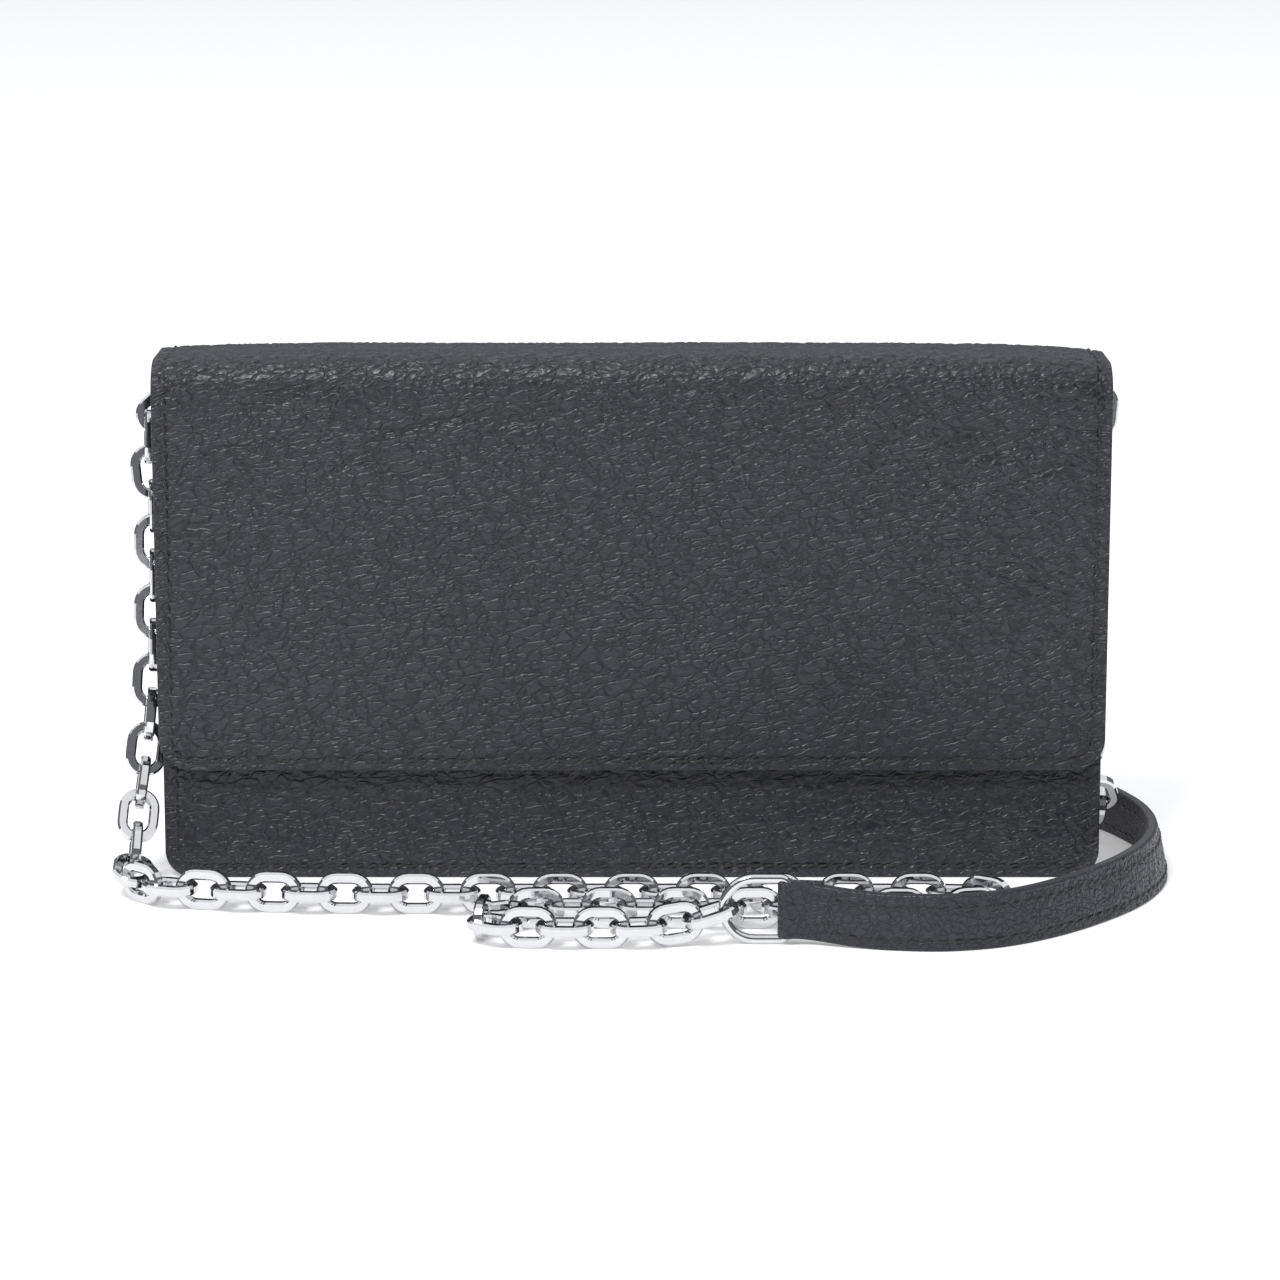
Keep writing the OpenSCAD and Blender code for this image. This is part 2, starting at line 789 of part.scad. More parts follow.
// Flat-cut link, a little thinner than its wire is wide
module chain_link() {
    linear_extrude(wire_t - 0.1, center = true) difference() {
        oval(link_w / 2);
        oval(link_w / 2 - wire_t);
    }
}

module chain(route) {
    c = smooth(route);
    along = reach(c);
    // An odd count turns the last link across its D-ring, as the first lies across its clasp's eye
    count = 2 * ceil((along[len(along) - 1] / link_pitch - 1) / 2) + 1;
    step = along[len(along) - 1] / count;
    ends = [for (i = [0:count]) point_at(c, along, i * step)];
    dirs = [for (i = [0:count - 1]) unit(ends[i + 1] - ends[i])];
    mids = [for (i = [0:count - 1]) (ends[i + 1] + ends[i]) / 2];
    first = unit([0, 1, 0] - dirs[0][1] * dirs[0]);
    normals = [for (i = 0, n = first; i < count; i = i + 1,
        n = i < count ? carry(n, dirs[i], mids[i][2]) : n) n];
    for (i = [0:count - 1]) {
        t = dirs[i];
        n = unit(normals[i] - (normals[i] * t) * t);
        b = cross(n, t);
        w = i % 2 == 0 ? n : b;
        v = cross(w, t);
        multmatrix([
            [t[0], v[0], w[0], mids[i][0]],
            [t[1], v[1], w[1], mids[i][1]],
            [t[2], v[2], w[2], mids[i][2]],
            [0, 0, 0, 1]
        ]) chain_link();
    }
}

module chain_left() {
    color("silver") chain(CHAIN_LEFT);
}

module chain_right() {
    color("silver") chain(CHAIN_RIGHT);
}

// ---- Strap ----

// One layer of the strap: a band between two offsets of the route, standing on its edge
module strap_layer(y0, y1) {
    c = smooth(STRAP, 3);
    m = len(c) - 1;
    loft([for (i = [0:m]) let (
            t = unit(c[min(i + 1, m)] - c[max(i - 1, 0)]),
            n = [t[1], -t[0]],
            a = c[i] + y0 * n,
            b = c[i] + y1 * n
        ) [[a[0], a[1], 0], [b[0], b[1], 0], [b[0], b[1], strap_w], [a[0], a[1], strap_w]]]);
}

module strap_outer() {
    color([0.2, 0.2, 0.22]) strap_layer(0, strap_t / 2);
}

module strap_lining() {
    color([0.24, 0.24, 0.26]) strap_layer(-strap_t / 2, 0);
}

// D-ring standing on the floor at the strap's end, bend towards -X
module strap_ring(at) {
    color("silver") translate([at[0], at[1], ring_half + ring_wire / 2]) {
        d_ring(ring_leg, ring_half, ring_wire);
    }
}

module strap_ring_front() {
    strap_ring(strap_ring_front);
}

module strap_ring_back() {
    strap_ring(strap_ring_back);
}

// Turned end of the strap round the D-ring's bar
module strap_loop(at) {
    z0 = ring_half + ring_wire / 2 - loop_h / 2;
    color([0.2, 0.2, 0.22]) translate([at[0], at[1], z0]) difference() {
        union() {
            cylinder(r = ring_wire / 2 + loop_t, h = loop_h, $fn = SMOOTH);
            translate([0, -loop_neck / 2, 0]) cube([loop_end, loop_neck, loop_h]);
        }
        translate([0, 0, -1]) cylinder(r = ring_wire / 2 + gap, h = loop_h + 2, $fn = SMOOTH);
        translate([loop_end, -4, -1]) cube([4, 8, loop_h + 2]);
    }
}

module strap_loop_front() {
    strap_loop(strap_ring_front);
}

module strap_loop_back() {
    strap_loop(strap_ring_back);
}

back_leather();
back_board();
back_lining();
base_strip();
gusset_left();
gusset_right();
card_slip_1();
card_slip_2();
card_slip_3();
card_slip_4();
ring_tab_left();
ring_tab_right();
inner_ring_left();
inner_ring_right();
clasp_body_left();
clasp_body_right();
clasp_eye_left();
clasp_eye_right();
clasp_pin_left();
clasp_pin_right();
clasp_spring_left();
clasp_spring_right();
clasp_gate_left();
clasp_gate_right();
top_leather();
top_lining();
flap_leather();
flap_board();
flap_lining();
snap_socket();
snap_cap();
front_leather();
front_board();
front_lining();
front_slip();
snap_stud();
snap_rivet();
pocket_front_wall();
pocket_back_wall();
pocket_gusset();
zip_tape_front();
zip_tape_back();
zip_teeth_front();
zip_teeth_back();
zip_stops();
zip_slider();
zip_pull();
chain_left();
chain_right();
strap_outer();
strap_lining();
strap_ring_front();
strap_ring_back();
strap_loop_front();
strap_loop_back();
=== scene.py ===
"""Chain wallet: the looks of black pebbled leather, chrome and thread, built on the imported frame.

Lengths are written in millimetres and meshes are made in metres. +X right, the flap faces -Y, +Z up.
"""

import math

import bmesh
import bpy
import numpy as np
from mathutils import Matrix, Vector


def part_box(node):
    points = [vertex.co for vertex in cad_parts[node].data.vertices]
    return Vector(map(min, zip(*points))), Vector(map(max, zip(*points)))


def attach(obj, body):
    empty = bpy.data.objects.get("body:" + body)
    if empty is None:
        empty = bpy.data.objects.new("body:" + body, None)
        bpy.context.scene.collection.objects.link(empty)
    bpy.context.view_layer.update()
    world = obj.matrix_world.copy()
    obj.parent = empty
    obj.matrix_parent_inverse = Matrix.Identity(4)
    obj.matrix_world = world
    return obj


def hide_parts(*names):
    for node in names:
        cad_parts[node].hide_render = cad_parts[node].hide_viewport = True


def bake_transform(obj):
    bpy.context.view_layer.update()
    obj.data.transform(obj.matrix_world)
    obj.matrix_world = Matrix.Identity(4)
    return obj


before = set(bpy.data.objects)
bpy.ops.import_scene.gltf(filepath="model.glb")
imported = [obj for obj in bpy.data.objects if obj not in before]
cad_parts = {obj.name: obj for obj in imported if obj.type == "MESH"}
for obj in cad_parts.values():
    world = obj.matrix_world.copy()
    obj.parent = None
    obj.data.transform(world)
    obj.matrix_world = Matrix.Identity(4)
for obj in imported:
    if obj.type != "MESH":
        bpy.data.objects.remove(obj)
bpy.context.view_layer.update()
MM = 0.001

# ---- Sizes shared with the CAD part, in mm ----
WALLET_W, WALLET_H = 205.0, 116.0
FLAP_W = WALLET_W + 1
FLAP_EDGE_Z = 25.0
FRONT_FOLD = (-7.0, 109.0, 7.0)
BACK_FOLD = (8.0, 110.0, 6.0)
LEATHER_T, LINING_T = 1.2, 0.8
PANEL_Y = -10.6
PANEL_TOP = 104.0
LINK_L, LINK_W, WIRE = 12.2, 8.9, 2.25
LINK_PITCH = 7.7
STRAP_W, STRAP_T = 12.0, 2.4

CHAIN_LEFT = [
    [-100.4, 7.1, 103.6], [-104.5, 6.7, 101.8], [-105.9, 4.5, 95.5], [-104.7, 2.5, 85], [-104.7, 1, 70],
    [-104.9, -0.5, 55], [-105.4, -2.5, 41], [-106.6, -5.8, 28], [-107.7, -11.5, 17.5], [-108.2, -17, 9.5],
    [-108, -23, 5], [-107.5, -29, 4.35], [-103, -33, 4.35], [-95, -35.5, 4.35],
    [-80, -38, 4.35], [-55, -39.5, 4.35], [-25, -39.5, 4.35], [5, -39.5, 4.35],
    [35, -39.5, 4.35], [60, -39.5, 4.35], [72, -40, 4.35], [78, -43, 4.35],
    [78, -48, 4.35], [72, -51, 4.35], [60, -51.5, 4.35], [40, -51, 4.35], [15, -51, 4.35],
    [-10, -51, 4.35], [-24, -51.5, 4.35], [-31, -55, 4.35], [-32, -61, 4.35],
    [-26, -65.5, 4.35], [-15, -66, 4.35], [0, -66, 4.35], [10, -65, 4.9], [19.9, -63, 7.5],
]
CHAIN_RIGHT = [
    [102.2, 7.3, 104.6], [102.3, 7.6, 101.2], [100.8, 5.5, 92.8], [100.5, 3.9, 90.5], [98.1, 4, 76.3],
    [98.8, 5.2, 73.3], [99.6, 2, 64.5], [97.7, 2.3, 42.2], [100.1, 3, 35.7], [99.8, 1.5, 31.6],
    [99.4, 2, 30.6], [101.1, 3.1, 22.1], [103, 5.2, 16.7], [104.8, 10.6, 11.4], [101.7, 22.2, 6.9],
    [100.2, 24.1, 4.9], [90.1, 28.3, 4.5], [81.4, 24.2, 5.3], [60, 24, 4.35], [35, 24, 4.35],
    [10, 24, 4.35], [-15, 24, 4.35], [-35, 24, 4.35], [-48, 24.5, 4.35], [-53.5, 27, 4.35],
    [-53.5, 32, 4.35], [-48, 34.5, 4.35], [-30, 35, 4.35], [-10, 35, 4.35], [3, 35.5, 4.35],
    [8.5, 38, 4.35], [8.5, 43, 4.35], [3, 45.5, 4.35], [-15, 46, 4.35], [-40, 46, 4.35],
    [-60, 46, 4.35], [-72, 46.5, 4.35], [-77.5, 49, 4.35], [-77.5, 54, 4.35],
    [-72, 56.5, 4.35], [-62, 57, 4.6], [-49.9, 57, 7.5],
]
STRAP = [
    [33.6, -63], [38, -63.5], [46, -65.6], [56, -67.7], [66, -68], [77, -64.8], [88, -57.5],
    [99, -46.5], [108.5, -33.5], [114.5, -20], [117, -7], [116.5, 7], [113, 20.5],
    [108, 32], [100.5, 43], [89, 51.5], [74, 56], [50, 57.5], [20, 57], [-10, 57], [-36.3, 57],
]


# ---- Curves ----
def smooth(points, steps):
    """Catmull-Rom curve through the points, as the CAD part draws it."""
    p = np.array(points, float)
    m = len(p) - 1
    out = []
    for i in range(m):
        a, b, c, d = p[max(i - 1, 0)], p[i], p[i + 1], p[min(i + 2, m)]
        for k in range(steps):
            t = k / steps
            out.append(0.5 * (2 * b + (c - a) * t + (2 * a - 5 * b + 4 * c - d) * t**2
                              + (3 * b - a - 3 * c + d) * t**3))
    out.append(p[m])
    return np.array(out)


def reach(curve):
    """Distance along the curve to each of its points."""
    return np.concatenate([[0], np.cumsum(np.linalg.norm(np.diff(curve, axis=0), axis=1))])


def resample(curve, where):
    """Points of the curve at the given distances along it."""
    along = reach(curve)
    return np.stack([np.interp(where, along, curve[:, k]) for k in range(curve.shape[1])], axis=1)


def unit(v):
    return v / np.maximum(np.linalg.norm(v, axis=-1, keepdims=True), 1e-9)


# ---- Repeatable noise ----
def lattice(i, j, seed):
    """A fixed number from 0 to 1 for each whole-numbered grid point."""
    h = (i * 374761393 + j * 668265263 + seed * 974634777) & 0xFFFFFFFF
    h = ((h ^ (h >> 13)) * 1274126177) & 0xFFFFFFFF
    return ((h ^ (h >> 16)) & 0xFFFFFF) / float(0xFFFFFF)


def noise(u, v, seed):
    """Smooth noise from -1 to 1 with features about one unit across."""
    i, j = np.floor(u).astype(np.int64), np.floor(v).astype(np.int64)
    f, g = u - i, v - j
    f, g = f * f * f * (f * (f * 6 - 15) + 10), g * g * g * (g * (g * 6 - 15) + 10)
    low = lattice(i, j, seed) * (1 - f) + lattice(i + 1, j, seed) * f
    high = lattice(i, j + 1, seed) * (1 - f) + lattice(i + 1, j + 1, seed) * f
    return 2 * (low * (1 - g) + high * g) - 1


def cells(u, v, seed):
    """Distances to the nearest and second nearest of scattered points, one a unit square."""
    i, j = np.floor(u).astype(np.int64), np.floor(v).astype(np.int64)
    first, second = np.full(u.shape, 9.0), np.full(u.shape, 9.0)
    for di in (-1, 0, 1):
        for dj in (-1, 0, 1):
            x = i + di + 0.1 + 0.8 * lattice(i + di, j + dj, seed)
            y = j + dj + 0.1 + 0.8 * lattice(i + di, j + dj, seed + 7)
            d = np.hypot(u - x, v - y)
            second = np.minimum(second, np.maximum(first, d))
            first = np.minimum(first, d)
    return first, second


def step_up(x, low, high):
    """Smooth rise from 0 at low to 1 at high."""
    t = np.clip((x - low) / (high - low), 0, 1)
    return t * t * (3 - 2 * t)


# ---- Materials ----
def material(name):
    mat = bpy.data.materials.new(name)
    mat.use_nodes = True
    tree = mat.node_tree
    return mat, tree, tree.nodes["Principled BSDF"]


def node(tree, kind, **values):
    made = tree.nodes.new(kind)
    for key, value in values.items():
        if key in made.inputs:
            made.inputs[key].default_value = value
        else:
            setattr(made, key, value)
    return made


def shade(tree, shader, source, low, high):
    """Base colour that runs between two tones."""
    tone = node(tree, "ShaderNodeValToRGB")
    for stop, colour in zip(tone.color_ramp.elements, (low, high)):
        stop.color = (*colour, 1)
    tree.links.new(source, tone.inputs["Fac"])
    tree.links.new(tone.outputs["Color"], shader.inputs["Base Color"])


def emboss(tree, shader, source, strength, depth):
    """Bump from a height, with its depth in mm."""
    bump = node(tree, "ShaderNodeBump", Strength=strength, Distance=depth * MM)
    tree.links.new(source, bump.inputs["Height"])
    tree.links.new(bump.outputs["Normal"], shader.inputs["Normal"])
    return bump


def remap(tree, source, low, high, start=0.0, stop=1.0, **kind):
    """A value moved from one range, 0 to 1 unless it is given, to another."""
    made = node(tree, "ShaderNodeMapRange", **kind)
    for key, value in (("From Min", start), ("From Max", stop), ("To Min", low), ("To Max", high)):
        made.inputs[key].default_value = value
    tree.links.new(source, made.inputs["Value"])
    return made.outputs["Result"]


def times(colour, share):
    return [min(c * share, 1) for c in colour]


def grain_vector(tree):
    """Coordinates that lie in the leather's own surface, in mm, so that grain bends with it."""
    at = node(tree, "ShaderNodeAttribute", attribute_name="grain")
    scale = node(tree, "ShaderNodeVectorMath", operation="MULTIPLY")
    scale.inputs[1].default_value = [1000] * 3
    tree.links.new(at.outputs["Vector"], scale.inputs[0])
    return scale.outputs[0]


def leather_material(name, dark, light, rough, cell=(5.4, 1.9), depth=0.16, sheen=0.0):
    """Black leather: pebbles between narrow creases darkened with painted shade, pores, random tone and a soft
    worn shine.
    """
    mat, tree, shader = material(name)
    link = tree.links.new
    vector = grain_vector(tree)
    warp = node(tree, "ShaderNodeTexNoise", Scale=0.16, Detail=2.0)
    link(vector, warp.inputs["Vector"])
    bend = node(tree, "ShaderNodeVectorMath", operation="SCALE", Scale=4.0)
    link(warp.outputs["Color"], bend.inputs[0])
    lean = node(tree, "ShaderNodeMapping")
    lean.inputs["Rotation"].default_value = (0, 0, 0.24)
    link(vector, lean.inputs["Vector"])
    bent = node(tree, "ShaderNodeVectorMath", operation="ADD")
    link(lean.outputs["Vector"], bent.inputs[0])
    link(bend.outputs[0], bent.inputs[1])
    heights = []
    for size, high in ((1.0, 0.16), (0.4, 0.26)):
        shrink = node(tree, "ShaderNodeVectorMath", operation="MULTIPLY")
        shrink.inputs[1].default_value = (1 / (cell[0] * size), 1 / (cell[1] * size), 1)
        link(bent.outputs[0], shrink.inputs[0])
        edges = node(tree, "ShaderNodeTexVoronoi", feature="DISTANCE_TO_EDGE", Scale=1.0)
        link(shrink.outputs[0], edges.inputs["Vector"])
        heights.append(remap(tree, edges.outputs["Distance"], 0.0, 1.0, stop=high,
                             interpolation_type="SMOOTHSTEP"))
    where = node(tree, "ShaderNodeTexNoise", Scale=0.09, Detail=2.0)
    link(vector, where.inputs["Vector"])
    share = remap(tree, where.outputs["Fac"], 0.45, 0.12, 0.35, 0.65)
    small = node(tree, "ShaderNodeMath", operation="MULTIPLY")
    link(heights[1], small.inputs[0])
    link(share, small.inputs[1])
    pores = node(tree, "ShaderNodeTexNoise", Scale=3.0, Detail=4.0, Roughness=0.6)
    link(vector, pores.inputs["Vector"])
    skin = node(tree, "ShaderNodeMath", operation="MULTIPLY_ADD")
    skin.inputs[1].default_value = 0.22
    link(pores.outputs["Fac"], skin.inputs[0])
    link(small.outputs[0], skin.inputs[2])
    both = node(tree, "ShaderNodeMath", operation="ADD")
    link(skin.outputs[0], both.inputs[0])
    link(heights[0], both.inputs[1])
    emboss(tree, shader, both.outputs[0], 1.0, depth)
    # Painted shade: the base colour below darkens where the grain is low and where the relief attribute marks
    # deep creases and seam grooves; the pores add random tone.
    relief = node(tree, "ShaderNodeAttribute", attribute_name="relief")
    dip = remap(tree, relief.outputs["Fac"], 0.0, -0.6, stop=0.4)
    tone_and_crease_shade = node(tree, "ShaderNodeMath", operation="MULTIPLY_ADD")
    tone_and_crease_shade.inputs[1].default_value = 0.62
    link(both.outputs[0], tone_and_crease_shade.inputs[0])
    link(dip, tone_and_crease_shade.inputs[2])
    ramp = node(tree, "ShaderNodeValToRGB")
    stops = ramp.color_ramp.elements
    stops[0].position, stops[0].color = 0.05, (*times(dark, 0.8), 1)
    stops[1].position, stops[1].color = 0.95, (*light, 1)
    stops.new(0.3).color = (*dark, 1)
    link(tone_and_crease_shade.outputs[0], ramp.inputs["Fac"])
    link(ramp.outputs["Color"], shader.inputs["Base Color"])
    link(remap(tree, both.outputs[0], rough + 0.2, rough - 0.05), shader.inputs["Roughness"])
    shader.inputs["Sheen Weight"].default_value = sheen
    shader.inputs["Sheen Roughness"].default_value = 0.35
    shader.inputs["Sheen Tint"].default_value = (0.75, 0.82, 1.0, 1)
    return mat


def chrome_material(name, colour, rough, soften=0.0):
    """Polished plated metal with faint polishing marks and small changes of gloss."""
    mat, tree, shader = material(name)
    link = tree.links.new
    place = node(tree, "ShaderNodeTexCoord")
    marks = node(tree, "ShaderNodeTexNoise", Scale=900.0, Detail=3.0)
    link(place.outputs["Object"], marks.inputs["Vector"])
    link(remap(tree, marks.outputs["Fac"], rough * 0.5, rough * 1.7), shader.inputs["Roughness"])
    shade(tree, shader, marks.outputs["Fac"], times(colour, 0.86), colour)
    bump = emboss(tree, shader, marks.outputs["Fac"], 0.25, 0.01)
    if soften:
        rounded = node(tree, "ShaderNodeBevel", Radius=soften * MM)
        link(rounded.outputs["Normal"], bump.inputs["Normal"])
    shader.inputs["Metallic"].default_value = 1.0
    return mat


def paint_material(name, colour, rough):
    """Edge paint: thick, smooth and slightly uneven."""
    mat, tree, shader = material(name)
    vector = grain_vector(tree)
    lumps = node(tree, "ShaderNodeTexNoise", Scale=0.9, Detail=3.0)
    tree.links.new(vector, lumps.inputs["Vector"])
    emboss(tree, shader, lumps.outputs["Fac"], 0.6, 0.08)
    shade(tree, shader, lumps.outputs["Fac"], times(colour, 0.7), times(colour, 1.3))
    shader.inputs["Roughness"].default_value = rough
    return mat


def thread_material(name, colour):
    """Waxed thread, with the slant of its twist as bump."""
    mat, tree, shader = material(name)
    place = node(tree, "ShaderNodeTexCoord")
    turn = node(tree, "ShaderNodeMapping")
    turn.inputs["Rotation"].default_value = (0.5, 0.6, 0.4)
    tree.links.new(place.outputs["Object"], turn.inputs["Vector"])
    twist = node(tree, "ShaderNodeTexWave", Scale=900.0, Distortion=1.5, Detail=1.0)
    tree.links.new(turn.outputs["Vector"], twist.inputs["Vector"])
    emboss(tree, shader, twist.outputs["Fac"], 0.8, 0.05)
    shade(tree, shader, twist.outputs["Fac"], times(colour, 0.6), colour)
    shader.inputs["Roughness"].default_value = 0.55
    shader.inputs["Sheen Weight"].default_value = 0.2
    return mat


def woven_material(name, dark, light, pitch):
    """Woven tape: two sets of threads that pass over and under each other."""
    mat, tree, shader = material(name)
    link = tree.links.new
    vector = grain_vector(tree)
    waves = []
    for turn in (0.785, -0.785):
        place = node(tree, "ShaderNodeMapping")
        place.inputs["Rotation"].default_value = (0, 0, turn)
        link(vector, place.inputs["Vector"])
        wave = node(tree, "ShaderNodeTexWave", Scale=0.314 / pitch, Distortion=0.4, Detail=1.0)
        link(place.outputs["Vector"], wave.inputs["Vector"])
        waves.append(wave.outputs["Fac"])
    both = node(tree, "ShaderNodeMath", operation="MULTIPLY")
    link(waves[0], both.inputs[0])
    link(waves[1], both.inputs[1])
    emboss(tree, shader, both.outputs[0], 1.0, 0.12)
    shade(tree, shader, both.outputs[0], dark, light)
    shader.inputs["Roughness"].default_value = 0.8
    shader.inputs["Sheen Weight"].default_value = 0.3
    return mat


def board_material(name, colour):
    """Grey-brown fibre board: long flecks and a dry face."""
    mat, tree, shader = material(name)
    place = node(tree, "ShaderNodeTexCoord")
    fleck = node(tree, "ShaderNodeTexNoise", Scale=700.0, Detail=4.0, Roughness=0.7)
    tree.links.new(place.outputs["Object"], fleck.inputs["Vector"])
    shade(tree, shader, fleck.outputs["Fac"], times(colour, 0.55), times(colour, 1.3))
    emboss(tree, shader, fleck.outputs["Fac"], 0.5, 0.04)
    shader.inputs["Roughness"].default_value = 0.85
    return mat


OUTER = leather_material("outer_leather", (0.012, 0.0125, 0.018), (0.02, 0.021, 0.03), 0.4, sheen=0.14)
EDGE = paint_material("edge_paint", (0.05, 0.051, 0.06), 0.3)
LINING = leather_material("lining_leather", (0.012, 0.012, 0.015), (0.026, 0.026, 0.031), 0.48, (1.2, 0.9),
                          0.06)
STRAP_OUT = leather_material("strap_leather", (0.012, 0.0125, 0.019), (0.019, 0.02, 0.03), 0.42,
                             (1.5, 2.0), 0.1, sheen=0.1)
STRAP_IN = leather_material("strap_inside", (0.03, 0.03, 0.036), (0.09, 0.09, 0.1), 0.6, (0.7, 0.7), 0.1)
STRAP_EDGE = paint_material("strap_edge_paint", (0.06, 0.06, 0.068), 0.4)
TAPE = woven_material("zip_tape", (0.006, 0.006, 0.007), (0.035, 0.035, 0.04), 0.55)
BOARD = board_material("fibre_board", (0.33, 0.26, 0.18))
THREAD = thread_material("thread", (0.009, 0.009, 0.011))
CHROME = chrome_material("chrome", (0.68, 0.68, 0.7), 0.06)
FITTING = chrome_material("fitting_chrome", (0.74, 0.74, 0.76), 0.14, 0.25)
STEEL = chrome_material("steel", (0.46, 0.46, 0.48), 0.3, 0.15)


# ---- Meshes ----
def make_object(name, points, faces, mats, face_mats=None, grain=None, flat=False, relief=None):
    """A mesh object from points in mm."""
    mesh = bpy.data.meshes.new(name)
    mesh.from_pydata((np.asarray(points) * MM).tolist(), [], faces)
    for mat in mats:
        mesh.materials.append(mat)
    if face_mats is not None:
        mesh.polygons.foreach_set("material_index", np.asarray(face_mats, np.int32))
    if grain is not None:
        layer = mesh.attributes.new("grain", "FLOAT_VECTOR", "POINT")
        layer.data.foreach_set("vector", (np.asarray(grain, np.float32) * MM).ravel())
    if relief is not None:
        layer = mesh.attributes.new("relief", "FLOAT", "POINT")
        layer.data.foreach_set("value", np.asarray(relief, np.float32).ravel())
    if not flat:
        mesh.polygons.foreach_set("use_smooth", np.ones(len(mesh.polygons), bool))
    mesh.update()
    obj = bpy.data.objects.new(name, mesh)
    bpy.context.scene.collection.objects.link(obj)
    return obj


# ---- Chains ----
def link_mesh():
    """One link with flat-cut faces: closed oval path, swept with an eight-sided section."""
    r = (LINK_W - WIRE) / 2
    k = (LINK_L - LINK_W) / 2
    path, ways = [], []
    for sign, start in ((1, -90), (-1, 90)):
        for a in np.radians(np.linspace(start, start + 180, 13)):
            way = np.array([math.cos(a), math.sin(a)])
            path.append(np.array([sign * k, 0]) + r * way)
            ways.append(way)
    path, ways = np.array(path), np.array(ways)
    half, cut, thick = WIRE / 2, 0.42, 1.1
    section = [(-half, -thick + cut), (-half + cut, -thick), (half - cut, -thick), (half, -thick + cut),
               (half, thick - cut), (half - cut, thick), (-half + cut, thick), (-half, thick - cut)]
    points = np.array([[*(p + s * w), h] for p, w in zip(path, ways) for s, h in section])
    n, m = len(section), len(path)
    faces = [[i * n + j, ((i + 1) % m) * n + j, ((i + 1) % m) * n + (j + 1) % n, i * n + (j + 1) % n]
             for i in range(m) for j in range(n)]
    return points, faces


def build_chain(name, route, node_name):
    """Interlocked links along the route, every second one on edge."""
    curve = smooth(route, 6)
    total = reach(curve)[-1]
    count = 2 * math.ceil((total / LINK_PITCH - 1) / 2) + 1
    ends = resample(curve, np.linspace(0, total, count + 1))
    shape, shape_faces = link_mesh()
    points, faces = [], []
    normal = unit(np.array([0.0, 1, 0]) - unit(ends[1] - ends[0])[1] * unit(ends[1] - ends[0]))
    for i in range(count):
        t = unit(ends[i + 1] - ends[i])
        mid = (ends[i] + ends[i + 1]) / 2
        n = unit(normal - (normal @ t) * t)
        w = n if i % 2 == 0 else np.cross(n, t)
        v = np.cross(w, t)
        base = len(points) * len(shape)
        points.append(mid + shape @ np.array([t, v, w]))
        faces += [[base + q for q in f] for f in shape_faces]
        if mid[2] < 5.2:
            normal = np.array([0, 0, -1.0 if normal[2] < 0 else 1.0])
        else:
            normal = unit(normal - (normal @ t) * t)
    obj = make_object(name, np.concatenate(points), faces, [CHROME], flat=True)
    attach(obj, "case")
    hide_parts(node_name)
    return obj


# ---- Bent wire ----
def closed_wire(name, path, radius, mats, sides=20):
    """A round wire along a closed path in mm."""
    p = np.array(path, float)
    m = len(p)
    t = unit(np.roll(p, -1, 0) - np.roll(p, 1, 0))
    side = np.array([0.0, 0, 1]) if abs(t[0][2]) < 0.9 else np.array([1.0, 0, 0])
    points = []
    for i in range(m):
        side = unit(side - (side @ t[i]) * t[i])
        other = np.cross(t[i], side)
        for a in np.linspace(0, 2 * math.pi, sides, endpoint=False):
            points.append(p[i] + radius * (math.cos(a) * side + math.sin(a) * other))
    faces = [[i * sides + j, i * sides + (j + 1) % sides, ((i + 1) % m) * sides + (j + 1) % sides,
              ((i + 1) % m) * sides + j] for i in range(m) for j in range(sides)]
    return make_object(name, points, faces, mats)


def d_ring_path(bar, arc, r, corner=1.4):
    """Closed D in a plane: straight bar at -bar side, half circle on the other, as (across, up) points."""
    pts = []
    for a in np.radians(np.linspace(-90, 90, 25)):
        pts.append([arc + r * math.cos(a), r * math.sin(a)])
    for cx, cy, a0 in ((bar + corner, r - corner, 90), (bar + corner, -r + corner, 180)):
        for a in np.radians(np.linspace(a0, a0 + 90, 6)):
            pts.append([cx + corner * math.cos(a), cy + corner * math.sin(a)])
    return np.array(pts)


RING_HALF, RING_LEG, RING_WIRE = 6.5, 6.8, 1.0
RING_SPOTS = (("front", (32.3, -63.0)), ("back", (-37.5, 57.0)))
for end, (x, y) in RING_SPOTS:
    outline = d_ring_path(0, RING_LEG, RING_HALF)
    path = [[x - a, y, RING_HALF + RING_WIRE + b] for a, b in outline]
    ring = closed_wire("d_ring_" + end, path, RING_WIRE, [CHROME])
    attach(ring, "case")
    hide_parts("strap_ring_" + end)

build_chain("chain_left_links", CHAIN_LEFT, "chain_left")
build_chain("chain_right_links", CHAIN_RIGHT, "chain_right")


# ---- Sheets of leather ----
def border(width, bevel, pitch):
    """Positions across a width: dense where the edges are rounded, even between."""
    near = np.array([0, 0.08, 0.3, 0.62, 1.0]) * bevel
    inner = np.linspace(bevel, width - bevel, max(int(round((width - 2 * bevel) / pitch)), 2) + 1)
    return np.concatenate([near[:-1], inner, width - near[::-1][1:]])


def rounding(d, bevel):
    """How far a rounded edge falls below the face at distance d inside the border."""
    s = np.clip(1 - d / bevel, 0, 1)
    return bevel * (1 - np.sqrt(1 - s * s))


